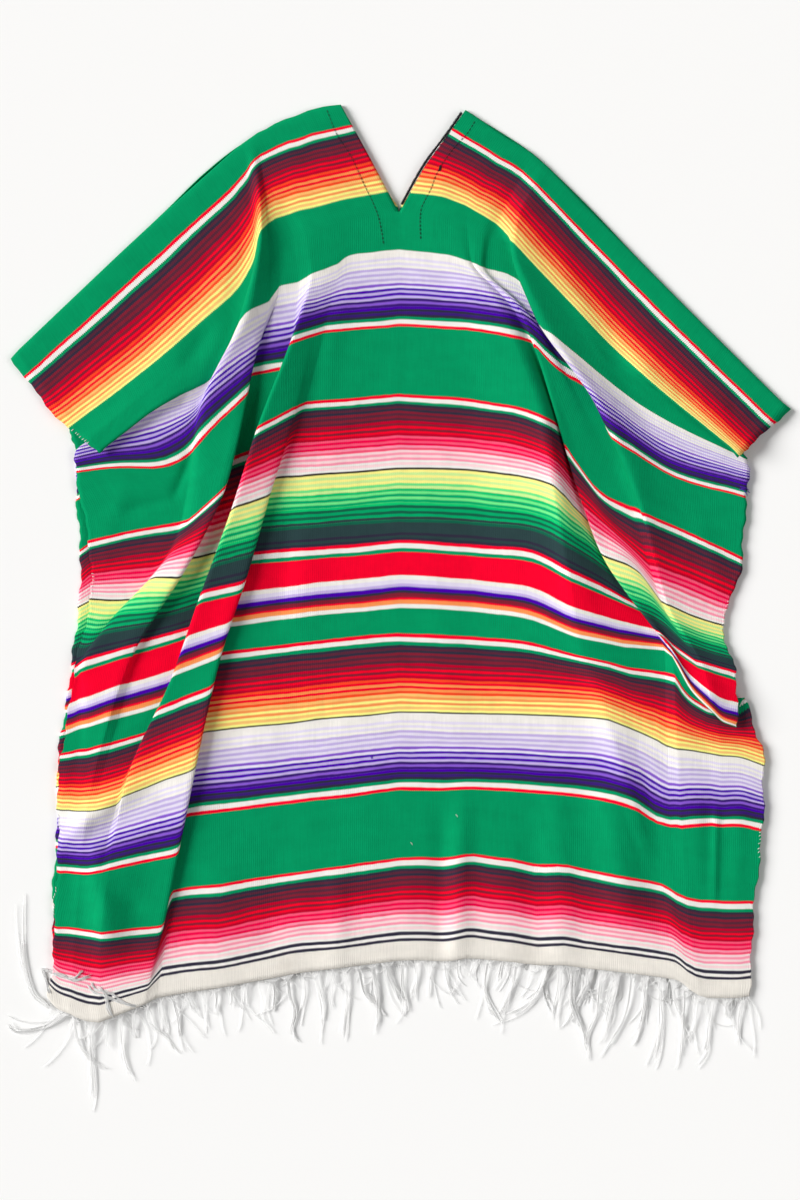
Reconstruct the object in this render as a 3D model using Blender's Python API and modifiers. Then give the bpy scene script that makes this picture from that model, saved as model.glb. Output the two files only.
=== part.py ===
"""Woven serape poncho, laid out flat with its front up.

One blanket is folded over at the shoulders, so it has a front and a back, with a neck slit down the
middle, a woven hem band at each end and a fringe of warp yarn beyond it. The cloth is pulled down at
both sleeves, which throws the front into deep overlapping folds. Metres, +Z up.
"""
import math

import bmesh
import bpy
from mathutils import Vector

MM = 0.001
WALL = 1.5                      # thickness of the woven cloth
SEAM_GAP = 0.3                  # gap between neighbouring pieces
SLIT = 140.0                    # length of the neck slit below the shoulder fold
MIDDLE = (-7.04, 593.96)         # centre of the laid-out poncho, from the neck's middle line and shoulder
BACK_LEVEL = 0.75               # height of the middle of the back's wall
FOLD_LEVEL = 2.6                # height at which front and back meet along the shoulder fold

# Distance down the cloth of each section, from the shoulder fold to the hem
SECTIONS = (0, 115, 177, 236, 353, 434, 524, 592, 696, 885, 1000)

# Each line runs down the cloth. A row holds its place on the table at every section, as
# (across, down) from the middle of the neck at the shoulder, in millimetres.
LEFT_LINES = {
    "main": ((-86, 18), (-63, 125), (-57, 184), (-65, 242), (-69, 359), (-71, 440), (-75, 529),
             (-77, 598), (-79, 703), (-92, 898), (-86, 1011)),
    "main_edge": ((-106, 23), (-86, 131), (-71, 194), (-80, 245), (-110, 363), (-141, 445), (-169, 537),
                  (-196, 613), (-225, 719), (-261, 922), (-279, 1043)),
    "middle_right": ((-120, 29), (-101, 135), (-85, 200), (-97, 251), (-122, 369), (-152, 466), (-182, 570),
                     (-208, 649), (-233, 760), (-274, 961), (-295, 1051)),
    "middle_left": ((-133, 33), (-115, 138), (-101, 206), (-112, 255), (-162, 391), (-190, 480), (-227, 582),
                    (-258, 669), (-312, 792), (-342, 968), (-346, 1071)),
    "valley_right": ((-144, 38), (-129, 143), (-117, 214), (-124, 281), (-171, 419), (-205, 529), (-242, 622),
                     (-273, 703), (-321, 804), (-353, 967), (-359, 1070)),
    "valley_left": ((-154, 44), (-143, 147), (-138, 219), (-161, 288), (-194, 426), (-230, 536), (-297, 638),
                    (-322, 718), (-347, 812), (-366, 966), (-373, 1065)),
    "left_right": ((-163, 48), (-153, 154), (-150, 236), (-167, 307), (-204, 462), (-256, 560), (-306, 642),
                   (-334, 721), (-357, 813), (-373, 965), (-380, 1061)),
    "left_left": ((-173, 55), (-160, 164), (-177, 252), (-222, 352), (-245, 498), (-284, 560), (-361, 659),
                  (-359, 729), (-370, 814), (-384, 964), (-391, 1057)),
    "under_wing": ((-183, 62), (-170, 204), (-205, 317), (-235, 371), (-255, 501), (-306, 585), (-368, 663),
                   (-368, 731), (-380, 813), (-389, 964), (-397, 1053)),
    "wing": ((-296, 163), (-276, 307), (-278, 360), (-293, 397), (-305, 509), (-331, 587), (-372, 666),
             (-376, 734), (-386, 813), (-393, 964), (-401, 1049)),
    "selvedge": ((-449, 308), (-381, 388), (-348, 415), (-374, 420), (-359, 522), (-355, 585), (-375, 668),
                 (-386, 737), (-393, 812), (-397, 963), (-406, 1043)),
}
RIGHT_LINES = {
    "main": ((92, 33), (46, 121), (55, 184), (69, 240), (75, 359), (76, 436), (78, 528),
             (81, 596), (83, 699), (85, 882), (86, 999)),
    "main_edge": ((106, 43), (64, 127), (74, 190), (113, 246), (162, 382), (176, 457), (196, 559),
                  (207, 627), (234, 704), (302, 915), (320, 1023)),
    "valley": ((118, 51), (76, 132), (81, 192), (129, 250), (186, 391), (216, 495), (273, 593),
               (304, 641), (306, 735), (318, 925), (334, 1034)),
    "right_left": ((129, 58), (86, 138), (86, 194), (138, 253), (193, 414), (235, 536), (299, 624),
                   (313, 649), (318, 739), (330, 930), (344, 1040)),
    "right_crease": ((140, 64), (98, 145), (92, 197), (150, 261), (232, 467), (269, 550), (316, 641),
                     (334, 687), (337, 744), (346, 933), (356, 1043)),
    "under_sleeve": ((152, 72), (112, 154), (98, 199), (159, 271), (267, 485), (300, 588), (340, 658),
                     (352, 706), (355, 748), (362, 934), (366, 1043)),
    "sleeve": ((167, 85), (131, 177), (169, 273), (233, 367), (282, 491), (308, 592), (347, 660),
               (359, 713), (368, 751), (372, 935), (374, 1043)),
    "wing": ((308, 228), (265, 314), (286, 364), (313, 419), (334, 513), (339, 605), (366, 666),
             (370, 723), (388, 753), (389, 935), (386, 1043)),
    "selvedge": ((447, 366), (392, 420), (399, 423), (400, 445), (394, 541), (370, 615), (388, 672),
                 (385, 729), (420, 762), (409, 935), (400, 1041)),
}

# Height of each line above the table where it crosses the cloth at these distances down it
STATIONS = (0, 177, 353, 524, 696, 1000)
LEFT_LIFT = {
    "main": (5, 7, 7, 6, 6, 5),
    "main_edge": (5, 8, 8, 6, 5, 5),
    "middle_right": (5, 9, 13, 14, 14, 7),
    "middle_left": (5, 10, 20, 17, 11, 7),
    "valley_right": (5, 8, 6, 6, 8, 6),
    "valley_left": (5, 8, 6, 6, 8, 6),
    "left_right": (5, 10, 19, 12, 9, 6),
    "left_left": (5, 18, 13, 9, 7, 5),
    "under_wing": (5, 7, 6, 6, 6, 5),
    "wing": (5, 7, 6, 5, 6, 5),
    "selvedge": (5, 6, 5, 5, 5, 4.5),
}
RIGHT_LIFT = {
    "main": (5, 8, 7, 6, 6, 5),
    "main_edge": (5, 9, 16, 14, 9, 6),
    "valley": (5, 8, 6, 6, 8, 6),
    "right_left": (5, 9, 17, 15, 10, 6),
    "right_crease": (5, 9, 11, 9, 9, 5),
    "under_sleeve": (5, 6, 9, 10, 8, 5),
    "sleeve": (5, 19, 13, 10, 8, 5),
    "wing": (5, 7, 8, 7, 7, 5),
    "selvedge": (5, 6, 5, 5, 6, 4.5),
}

# Folds that run down the cloth, named by their lower and upper lines, with the reach of the lower
# cloth under the upper one at these distances. `over` is 1 where the outer panel lies on top.
REACH_STATIONS = (0, 177, 353, 524, 592, 1000)
LEFT_FOLDS = (
    {"inner": "main_edge", "outer": "middle_right", "over": 1, "reach": (0, 0, 3, 13, 15, 0)},
    {"inner": "middle_left", "outer": "valley_right", "over": -1, "reach": (0, 2, 13, 10, 5, 0)},
    {"inner": "valley_left", "outer": "left_right", "over": 1, "reach": (0, 0, 11, 5, 0, 0)},
)
RIGHT_FOLDS = (
    {"inner": "valley", "outer": "right_left", "over": 1, "reach": (0, 0, 9, 8, 0, 0)},
    {"inner": "under_sleeve", "outer": "sleeve", "over": 1, "reach": (0, 18, 5, 0, 0, 0)},
)
# Columns inside a fold, from the lower line to the upper one: share of the reach, share of the height
FOLD_TURN = ((0.75, 0.03), (1.0, 0.14), (1.0, 0.37), (0.75, 0.47))
NOSE = 2.0                      # how far a fold's rounded edge stands out over the lower cloth
NOSE_HEIGHT = 0.82

# Folds that run across the cloth and open towards a selvedge: the section at which each starts, the
# line from which it opens, and its height. Cloth with no room before the next section goes into it.
CROSS_FOLDS = {
    "left": ({"section": 2, "from": "under_wing", "height": 7.5},),
    "right": ({"section": 1, "from": "sleeve", "height": 7.5},
              {"section": 7, "from": "right_left", "height": 7.0}),
}
FASTEST = 50.0                  # cloth that such a fold can take up over its full length
LEAST_HIDDEN = 30.0             # cloth taken up by the rows of a cross fold where it is still flat
CROSS_SECTIONS = (1, 2, 7)
# Rows inside such a fold, from its upper edge to its lower one: share of the reach, of the height,
# and of the way across from the upper edge to the lower one
CROSS_TURN = ((0.0, 0.84, 0.0), (0.65, 0.52, 0.2), (1.0, 0.42, 0.5), (1.0, 0.16, 0.5), (0.65, 0.05, 0.8),
              (0.0, 0.0, 1.0))

# Rows between one section and the next where no fold crosses
PLAIN_ROWS = {0: (0.0, 0.015, 0.05, 0.35, 0.7), 3: (0.0, 0.34, 0.67), 4: (0.0, 0.5), 5: (0.0, 0.5),
              6: (0.0, 0.5), 8: (0.0, 0.5), 9: (0.0, 0.5, 1.0)}
# Columns inside each panel, counted from the middle of the poncho outwards
LEFT_PANELS = (("centre", "main", "main_edge"), ("middle_right", "middle_left"),
               ("valley_right", "valley_left"),
               ("left_right", "left_left", "under_wing", "wing", "selvedge"))
LEFT_COUNTS = (4, 2, 1, 9)
RIGHT_PANELS = (("centre", "main", "main_edge", "valley"), ("right_left", "right_crease", "under_sleeve"),
                ("sleeve", "wing", "selvedge"))
RIGHT_COUNTS = (6, 5, 7)

# Edges of the neck slit: distance down the cloth, and place on the table
LEFT_SLIT = ((0, -68, 16), (70, -36, 74), (140, -1, 140))
RIGHT_SLIT = ((0, 75, 22), (35, 57, 48), (80, 29, 86), (140, -1, 140))

# The back lies smooth on the table. Its lines are placed like those of the front.
BACK_SECTIONS = (0, 115, 236, 434, 560, 696, 985)
BACK_LEFT = {
    "inner": ((-86, 18), (-66, 122), (-72, 240), (-85, 440), (-93, 565), (-100, 702), (-110, 990)),
    "middle": ((-183, 62), (-150, 165), (-165, 290), (-185, 480), (-198, 605), (-210, 735), (-225, 1002)),
    "outer": ((-296, 163), (-262, 262), (-270, 365), (-285, 535), (-296, 655), (-303, 770), (-318, 1020)),
    "selvedge": ((-449, 308), (-384, 380), (-372, 440), (-369, 590), (-384, 690), (-394, 790), (-401, 1030)),
}
BACK_RIGHT = {
    "inner": ((92, 33), (56, 122), (62, 240), (75, 440), (82, 566), (88, 700), (100, 987)),
    "middle": ((152, 72), (125, 175), (140, 300), (165, 480), (178, 605), (190, 730), (210, 997)),
    "outer": ((308, 228), (268, 310), (275, 385), (285, 545), (290, 645), (300, 765), (315, 1012)),
    "selvedge": ((447, 366), (393, 412), (392, 470), (372, 590), (353, 660), (396, 780), (397, 1020)),
}
BACK_ROWS = (0, 1.7, 5.8, 60, 115, 140, 188, 236, 335, 434, 497, 560, 628, 696, 792, 888, 985)
BACK_COLUMNS = 10
BACK_TURN = 0.6                 # where the back's wall has bent up to the shoulder fold, above its level

# Dark cord overlocked along the right edge of the slit
CORD_RADIUS = 1.5
CORD_SIDES = 6
CORD_ROWS = (6, 40.25, 80.5, 115, 120, 125, 130)

# Fringe: a narrow strip beside the hem that holds the roots of the locks of yarn
STRIP = 5.0
LOCK_SEGMENTS = 5
LOCK_ROOT = 3.4                 # width of a lock at its root and at its tip
LOCK_TIP = 1.5
# Length of the front's locks at these places along the hem
FRONT_LENGTHS = ((-410, 75), (-370, 104), (-310, 70), (-200, 62), (-60, 84), (60, 66), (180, 92),
                 (270, 112), (330, 96), (400, 62))
BACK_LENGTHS = ((-400, 62), (-200, 50), (0, 56), (200, 66), (400, 50))
FRONT_LOCKS = 50
BACK_LOCKS = 30
# Two long locks at the left end curl out beside the cloth: places they pass
CURLS = (((-421, 1040), (-436, 980), (-439, 912)), ((-413, 1078), (-440, 1082), (-461, 1058)))


def clear_scene():
    """Remove what the scene holds before the model is made."""
    for thing in list(bpy.data.objects):
        bpy.data.objects.remove(thing, do_unlink=True)


def smoothstep(value):
    """Ease from 0 to 1."""
    value = min(1.0, max(0.0, value))
    return value * value * (3.0 - 2.0 * value)


def slopes(knots, values):
    """Slopes of a smooth curve through the values that never overshoots them."""
    steps = [(values[i + 1] - values[i]) / (knots[i + 1] - knots[i]) for i in range(len(knots) - 1)]
    result = [steps[0]]
    for before, after in zip(steps, steps[1:]):
        result.append(0.0 if before * after <= 0.0 else 2.0 * before * after / (before + after))
    result.append(steps[-1])
    return result


def curve_at(knots, values, at):
    """Value at one place on the smooth curve through the knots."""
    at = min(knots[-1], max(knots[0], at))
    index = max(i for i in range(len(knots) - 1) if knots[i] <= at)
    width = knots[index + 1] - knots[index]
    along = (at - knots[index]) / width
    slope = slopes(knots, values)
    rise = values[index + 1] - values[index]
    start, end = slope[index] * width, slope[index + 1] * width
    return (values[index] + start * along + (3 * rise - 2 * start - end) * along ** 2
            + (start + end - 2 * rise) * along ** 3)


class Line:
    """One line down the cloth, with its place on the table and its height."""

    def __init__(self, places, lift):
        self.across = [place[0] for place in places]
        self.down = [place[1] for place in places]
        self.lift = lift

    def place(self, cloth):
        """Place on the table at a distance down the cloth."""
        return Vector((curve_at(SECTIONS, self.across, cloth), curve_at(SECTIONS, self.down, cloth)))

    def height(self, cloth):
        """Height at a distance down the cloth."""
        return curve_at(STATIONS, self.lift, cloth)


class CentreLine(Line):
    """The middle line: the edge of the neck slit above its end, and straight down below it."""

    def __init__(self, side):
        edge = LEFT_SLIT if side < 0 else RIGHT_SLIT
        self.knots = [row[0] for row in edge]
        self.across = [row[1] for row in edge]
        self.down = [row[2] for row in edge]
        self.lift = (5, 5, 6, 6, 6, 5)

    def place(self, cloth):
        if cloth >= SLIT:
            return Vector((self.across[-1], cloth))
        return Vector((curve_at(self.knots, self.across, cloth), curve_at(self.knots, self.down, cloth)))


def row_plan():
    """Rows as (section, fraction of the way to the next, step inside a cross fold or None)."""
    plan = []
    for section in range(len(SECTIONS) - 1):
        if section in CROSS_SECTIONS:
            rows = len(CROSS_TURN) + (2 if section == 7 else 1)
            plan += [(section, step / rows, step) for step in range(rows)]
        else:
            plan += [(section, fraction, None) for fraction in PLAIN_ROWS[section]]
    return plan


def lines_of(side):
    """All the lines of one half, by name."""
    places, lifts = (LEFT_LINES, LEFT_LIFT) if side < 0 else (RIGHT_LINES, RIGHT_LIFT)
    lines = {name: Line(places[name], lifts[name]) for name in places}
    lines["centre"] = CentreLine(side)
    return lines


def column_plan(side):
    """Columns from the middle out: (lines, weights, fold, turn) for each, and its share outwards."""
    panels, counts = (LEFT_PANELS, LEFT_COUNTS) if side < 0 else (RIGHT_PANELS, RIGHT_COUNTS)
    folds = LEFT_FOLDS if side < 0 else RIGHT_FOLDS
    columns = []
    for number, (panel, count) in enumerate(zip(panels, counts)):
        for step in range(count + 1):
            columns.append({"panel": panel, "along": step / count})
        if number < len(folds):
            fold = folds[number]
            turns = list(range(len(FOLD_TURN) + 1))
            if fold["over"] < 0:
                turns.reverse()
            columns += [{"fold": fold, "turn": turn} for turn in turns]
    return columns


def panel_point(lines, column, cloth):
    """Point of a panel's column: a smooth curve through the panel's lines."""
    names = column["panel"]
    knots = [i / (len(names) - 1) for i in range(len(names))]
    points = [lines[name].place(cloth) for name in names]
    heights = [lines[name].height(cloth) for name in names]
    along = column["along"]
    return Vector((curve_at(knots, [p.x for p in points], along),
                   curve_at(knots, [p.y for p in points], along),
                   curve_at(knots, heights, along)))


def fold_point(lines, column, cloth, side):
    """Point of a column inside a fold that runs down the cloth."""
    fold = column["fold"]
    inner, outer = lines[fold["inner"]], lines[fold["outer"]]
    low, high = (inner, outer) if fold["over"] > 0 else (outer, inner)
    reach = max(0.0, curve_at(REACH_STATIONS, fold["reach"], cloth)) * smoothstep(cloth / 150.0)
    strength = smoothstep(reach / 12.0)
    turn = column["turn"]
    steps = len(FOLD_TURN) + 2
    share = (turn + 1) / steps
    place = low.place(cloth).lerp(high.place(cloth), share)
    rise = high.height(cloth) - low.height(cloth)
    along = high.place(cloth + 8.0) - high.place(cloth - 8.0)
    under = Vector((along.y, -along.x)).normalized() * side * fold["over"]
    if under.x * side * fold["over"] < 0:
        under = -under
    if turn < len(FOLD_TURN):
        push, level = FOLD_TURN[turn]
        shift = under * reach * push
    else:
        level = NOSE_HEIGHT
        shift = -under * NOSE
    level = share + (level - share) * strength
    place = place + shift * strength
    return Vector((place.x, place.y, low.height(cloth) + rise * level))


def hidden_cloth(lines, column, fold, side):
    """Cloth that goes into a cross fold at a column."""
    start, end = SECTIONS[fold["section"]], SECTIONS[fold["section"] + 1]
    first, last = lines[fold["from"]].place(start), lines["selvedge"].place(start)
    point = column_point(lines, column, start, side)
    span = last - first
    share = (point.xy - first).dot(span) / span.dot(span)
    room = (column_point(lines, column, end, side) - point).xy.length
    return max(0.0, min(end - start - room, share * FASTEST))


def column_point(lines, column, cloth, side):
    """Point of any column before cross folds."""
    if "panel" in column:
        return panel_point(lines, column, cloth)
    return fold_point(lines, column, cloth, side)


def rise_share(hidden):
    """How far a cross fold has risen, from 0 where it is flat to 1."""
    return smoothstep(hidden / 10.0)


def turn_share(hidden):
    """How far a cross fold has turned over, from 0 where it is a soft step to 1."""
    return smoothstep((hidden - 3.0) / 36.0)


def cross_lift(hidden, fold, cloth):
    """Height that a cross fold adds to the cloth above it: full over its hidden cloth, then fading."""
    above = max(0.0, SECTIONS[fold["section"]] - cloth - 0.9 * hidden)
    return fold["height"] * rise_share(hidden) * math.exp(-above / 30.0)


def cross_cloth(section, step, hidden):
    """Distance down the cloth of one row inside a cross fold."""
    start, end = SECTIONS[section], SECTIONS[section + 1]
    taken = max(hidden, LEAST_HIDDEN)
    if step > len(CROSS_TURN):
        return (start + taken + end) / 2.0
    return start + taken * step / len(CROSS_TURN)


def cross_point(lines, column, fold, step, side, hidden):
    """Point at one row inside a cross fold."""
    start, end = SECTIONS[fold["section"]], SECTIONS[fold["section"] + 1]
    flat = column_point(lines, column, cross_cloth(fold["section"], step, hidden), side)
    turned = turn_share(hidden)
    edge = column_point(lines, column, start, side)
    after = column_point(lines, column, end, side)
    up_high = (column_point(lines, column, start - 12.0, side) - edge).xy.normalized()
    up_low = (after - column_point(lines, column, end + 50.0, side)).xy.normalized()
    back = (edge - after).xy
    lower = after.xy + (up_low + back.normalized()).normalized() * back.length
    if step > len(CROSS_TURN):
        place = flat.xy.lerp((lower + after.xy) / 2.0, turned)
        return Vector((place.x, place.y, flat.z))
    push, level, along = (0.0, 1.0, 0.0) if step == 0 else CROSS_TURN[step - 1]
    place = edge.xy.lerp(lower, along)
    place = place + up_high.lerp(up_low, along) * hidden / 2.0 * push
    if step == 1:
        place -= up_high * NOSE
    place = flat.xy.lerp(place, turned)
    height = flat.z + (edge.z - flat.z) * turned + fold["height"] * level * rise_share(hidden)
    return Vector((place.x, place.y, height))


def grid_point(lines, column, row, side, hidden):
    """Point of the laid cloth at one column and row."""
    section, fraction, step = row
    folds = CROSS_FOLDS["left" if side < 0 else "right"]
    active = next((fold for fold in folds if fold["section"] == section), None)
    if step is None:
        cloth = SECTIONS[section] + (SECTIONS[section + 1] - SECTIONS[section]) * fraction
    else:
        cloth = cross_cloth(section, step, hidden[section] if active else 0.0)
    if active:
        point = cross_point(lines, column, active, step, side, hidden[section])
    else:
        point = column_point(lines, column, cloth, side)
    for fold in folds:
        if fold is not active and cloth < SECTIONS[fold["section"]] + 0.01:
            point.z += cross_lift(hidden[fold["section"]], fold, cloth)
    return point


def front_grid():
    """Grid of points over the whole front, left selvedge to right, shoulder to hem."""
    halves = {}
    rows = row_plan()
    for side in (-1, 1):
        lines = lines_of(side)
        half = []
        for column in column_plan(side):
            folds = CROSS_FOLDS["left" if side < 0 else "right"]
            hidden = {fold["section"]: hidden_cloth(lines, column, fold, side) for fold in folds}
            points = [grid_point(lines, column, row, side, hidden) for row in rows]
            points[0].z = FOLD_LEVEL + SEAM_GAP / 2
            points[1] = Vector((points[0].x, points[0].y, FOLD_LEVEL + 1.4))
            half.append(points)
        halves[side] = half
    return halves


def back_grid():
    """Grid of points over the whole back, flat on the table but for the bend up to the shoulder fold."""
    halves = {}
    for side, table in ((-1, BACK_LEFT), (1, BACK_RIGHT)):
        centre = CentreLine(side)
        half = []
        for number in range(BACK_COLUMNS + 1):
            knots = [i / len(table) for i in range(len(table) + 1)]
            points = []
            for cloth in BACK_ROWS:
                places = [centre.place(cloth)]
                for places_down in table.values():
                    across = curve_at(BACK_SECTIONS, [p[0] for p in places_down], cloth)
                    down = curve_at(BACK_SECTIONS, [p[1] for p in places_down], cloth)
                    places.append(Vector((across, down)))
                along = number / BACK_COLUMNS
                points.append(Vector((curve_at(knots, [p.x for p in places], along),
                                      curve_at(knots, [p.y for p in places], along), BACK_LEVEL)))
            points[0].z = FOLD_LEVEL - SEAM_GAP / 2
            points[1] = Vector((points[0].x, points[0].y, BACK_LEVEL + BACK_TURN))
            half.append(points)
        halves[side] = half
    return halves


def to_world(point):
    """Turn a place on the table, in millimetres from the neck, into metres about the middle."""
    return Vector((point.x - MIDDLE[0], MIDDLE[1] - point.y, point.z)) * MM


def sheet_mesh(name, halves):
    """Mesh of a grid in two halves that are joined below the neck slit."""
    mesh = bmesh.new()
    columns = [[mesh.verts.new(to_world(p)) for p in column] for column in reversed(halves[-1])]
    right = []
    for number, column in enumerate(halves[1]):
        verts = []
        for row, point in enumerate(column):
            joined = number == 0 and (point.xy - halves[-1][0][row].xy).length < 1.0
            verts.append(columns[-1][row] if joined else mesh.verts.new(to_world(point)))
        right.append(verts)
    for group in (columns, right):
        for left, after in zip(group, group[1:]):
            for row in range(len(left) - 1):
                mesh.faces.new((left[row], left[row + 1], after[row + 1], after[row]))
    data = bpy.data.meshes.new(name)
    mesh.to_mesh(data)
    mesh.free()
    return data


def table_value(table, at):
    """Value from a table of (place, value) rows."""
    return curve_at([row[0] for row in table], [row[1] for row in table], at)


def hem_path(halves):
    """The hem's edge from left to right."""
    return [column[-1] for column in halves[-1][::-1]] + [column[-1] for column in halves[1][1:]]


def path_point(path, distances, at):
    """Point of the hem at a distance along it."""
    at = min(distances[-1], max(0.0, at))
    index = max(i for i in range(len(path) - 1) if distances[i] <= at)
    share = (at - distances[index]) / (distances[index + 1] - distances[index])
    return path[index].lerp(path[index + 1], share)


def way_out(path, distances, at, window):
    """Direction on the table that leads away from the hem, levelled out over a window along it."""
    along = path_point(path, distances, at + window) - path_point(path, distances, at - window)
    return Vector((-along.y, along.x, 0.0)).normalized()


def lock_points(root, way, length, level):
    """Middle line of one lock: it waves a little and sinks to its level."""
    swing = 0.26 * math.sin(root.x / 52.0 + 1.6) + 0.10 * math.sin(root.x / 23.0 + 1.0)
    curl = 0.40 * math.sin(root.x / 67.0 + 0.4)
    points = [root]
    heading = math.atan2(way.y, way.x)
    step = length / LOCK_SEGMENTS
    for segment in range(1, LOCK_SEGMENTS + 1):
        share = segment / LOCK_SEGMENTS
        turned = heading - swing * smoothstep(share * 2.0) - curl * (share - 0.4)
        place = points[-1].xy + Vector((math.cos(turned), math.sin(turned))) * step
        height = root.z + (level - root.z) * smoothstep(share * 1.6)
        points.append(Vector((place.x, place.y, height)))
    return points


def curl_points(root, places, level):
    """Middle line of a long lock that curls past the given places."""
    places = (root.xy,) + places
    knots = [i / (len(places) - 1) for i in range(len(places))]
    points = [root]
    for segment in range(1, 2 * LOCK_SEGMENTS + 1):
        share = segment / (2 * LOCK_SEGMENTS)
        place = Vector((curve_at(knots, [p[0] for p in places], share),
                        curve_at(knots, [p[1] for p in places], share)))
        height = root.z + (level - root.z) * smoothstep(share * 2.5)
        points.append(Vector((place.x, place.y, height)))
    return points


def add_lock(mesh, left, right, points):
    """Grow a ribbon from one edge of the strip along a lock's middle line."""
    for number in range(1, len(points)):
        share = number / (len(points) - 1)
        half = (LOCK_ROOT + (LOCK_TIP - LOCK_ROOT) * share) / 2.0
        before = points[number - 1]
        after = points[min(number + 1, len(points) - 1)]
        along = (after - before).xy.normalized()
        across = Vector((along.y, -along.x, 0.0)) * half
        new_left = mesh.verts.new(to_world(points[number] - across))
        new_right = mesh.verts.new(to_world(points[number] + across))
        mesh.faces.new((left, new_left, new_right, right))
        left, right = new_left, new_right


def fringe_mesh(name, halves, locks, lengths, levels, curls):
    """A narrow strip beside the hem with its locks of yarn, as one open sheet."""
    path = hem_path(halves)
    distances = [0.0]
    for before, after in zip(path, path[1:]):
        distances.append(distances[-1] + (after - before).length)
    spacing = distances[-1] / locks
    centres = [spacing * (number + 0.5) for number in range(locks)]
    stops = {0.0, distances[-1]}
    for centre in centres:
        stops |= {centre - LOCK_ROOT / 2.0, centre + LOCK_ROOT / 2.0}
    for number in range(1, len(path) - 1):
        before, here, after = (path[number + step] for step in (-1, 0, 1))
        bend = (here - before).angle(after - here)
        clear = all(abs(distances[number] - centre) > LOCK_ROOT / 2.0 + 0.5 for centre in centres)
        if clear and bend > 0.03:
            stops.add(distances[number])
    mesh = bmesh.new()
    rows = []
    for stop in sorted(stops):
        point, way = path_point(path, distances, stop), way_out(path, distances, stop, 12.0)
        near = mesh.verts.new(to_world(point + way * SEAM_GAP))
        far = mesh.verts.new(to_world(point + way * (SEAM_GAP + STRIP)))
        rows.append((stop, near, far))
    for before, after in zip(rows, rows[1:]):
        mesh.faces.new((before[1], before[2], after[2], after[1]))
    for number, centre in enumerate(centres):
        left = next(row[2] for row in rows if abs(row[0] - centre + LOCK_ROOT / 2.0) < 0.001)
        right = next(row[2] for row in rows if abs(row[0] - centre - LOCK_ROOT / 2.0) < 0.001)
        near = way_out(path, distances, centre, 12.0)
        way = way_out(path, distances, centre, 110.0)
        root = path_point(path, distances, centre) + near * (SEAM_GAP + STRIP)
        length = table_value(lengths, root.x) * (1.0 if number % 2 else 0.74)
        if number < len(curls):
            points = curl_points(root, curls[number], levels[1])
        else:
            points = lock_points(root, way, length, levels[number % 2])
        add_lock(mesh, left, right, points)
    data = bpy.data.meshes.new(name)
    mesh.to_mesh(data)
    mesh.free()
    return data


def cord_mesh(name):
    """Round cord beside the right edge of the slit."""
    edge = CentreLine(1)
    mesh = bmesh.new()
    rings = []
    for row in CORD_ROWS:
        place = edge.place(row)
        along = (edge.place(row + 2.0) - edge.place(row - 2.0)).normalized()
        out = Vector((-abs(along.y), -abs(along.x), 0.0))
        centre = Vector((place.x, place.y, edge.height(row))) + out * (CORD_RADIUS + SEAM_GAP + 0.1)
        ring = []
        for side in range(CORD_SIDES):
            angle = 2.0 * math.pi * side / CORD_SIDES
            spot = centre + (out * math.cos(angle) + Vector((0.0, 0.0, math.sin(angle)))) * CORD_RADIUS
            ring.append(mesh.verts.new(to_world(spot)))
        rings.append(ring)
    for before, after in zip(rings, rings[1:]):
        for side in range(CORD_SIDES):
            following = (side + 1) % CORD_SIDES
            mesh.faces.new((before[side], before[following], after[following], after[side]))
    mesh.faces.new(rings[0][::-1])
    mesh.faces.new(rings[-1])
    bmesh.ops.recalc_face_normals(mesh, faces=mesh.faces[:])
    data = bpy.data.meshes.new(name)
    mesh.to_mesh(data)
    mesh.free()
    return data


def add_object(name, data, collection, material):
    """Put a mesh or curve into the collection with its material."""
    thing = bpy.data.objects.new(name, data)
    data.materials.append(material)
    collection.objects.link(thing)
    return thing


def add_wall(thing):
    """Give an open sheet the thickness of the cloth."""
    wall = thing.modifiers.new("Wall", "SOLIDIFY")
    wall.thickness = WALL * MM
    wall.offset = 0.0


def make_material(name, colour, roughness):
    """A plain Principled material."""
    material = bpy.data.materials.new(name)
    material.use_nodes = True
    shader = material.node_tree.nodes["Principled BSDF"]
    shader.inputs["Base Color"].default_value = (*colour, 1.0)
    shader.inputs["Roughness"].default_value = roughness
    shader.inputs["Metallic"].default_value = 0.0
    return material


def main():
    clear_scene()
    collection = bpy.data.collections.new("woven_poncho")
    bpy.context.scene.collection.children.link(collection)
    green = make_material("Green blanket cloth", (0.0, 0.30, 0.12), 0.9)
    back_green = make_material("Green blanket cloth, back", (0.0, 0.27, 0.11), 0.9)
    dark = make_material("Dark overlock cord", (0.02, 0.02, 0.025), 0.85)
    white = make_material("White fringe yarn", (0.80, 0.78, 0.74), 0.95)
    back_white = make_material("White fringe yarn, back", (0.76, 0.74, 0.70), 0.95)
    front, back = front_grid(), back_grid()
    add_wall(add_object("front_panel", sheet_mesh("front_panel", front), collection, green))
    add_wall(add_object("back_panel", sheet_mesh("back_panel", back), collection, back_green))
    add_object("neck_cord", cord_mesh("neck_cord"), collection, dark)
    front_fringe = fringe_mesh("front_fringe", front, FRONT_LOCKS, FRONT_LENGTHS, (3.4, 4.2), CURLS)
    add_wall(add_object("front_fringe", front_fringe, collection, white))
    back_fringe = fringe_mesh("back_fringe", back, BACK_LOCKS, BACK_LENGTHS, (1.05, 1.05), ())
    add_wall(add_object("back_fringe", back_fringe, collection, back_white))


main()
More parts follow.
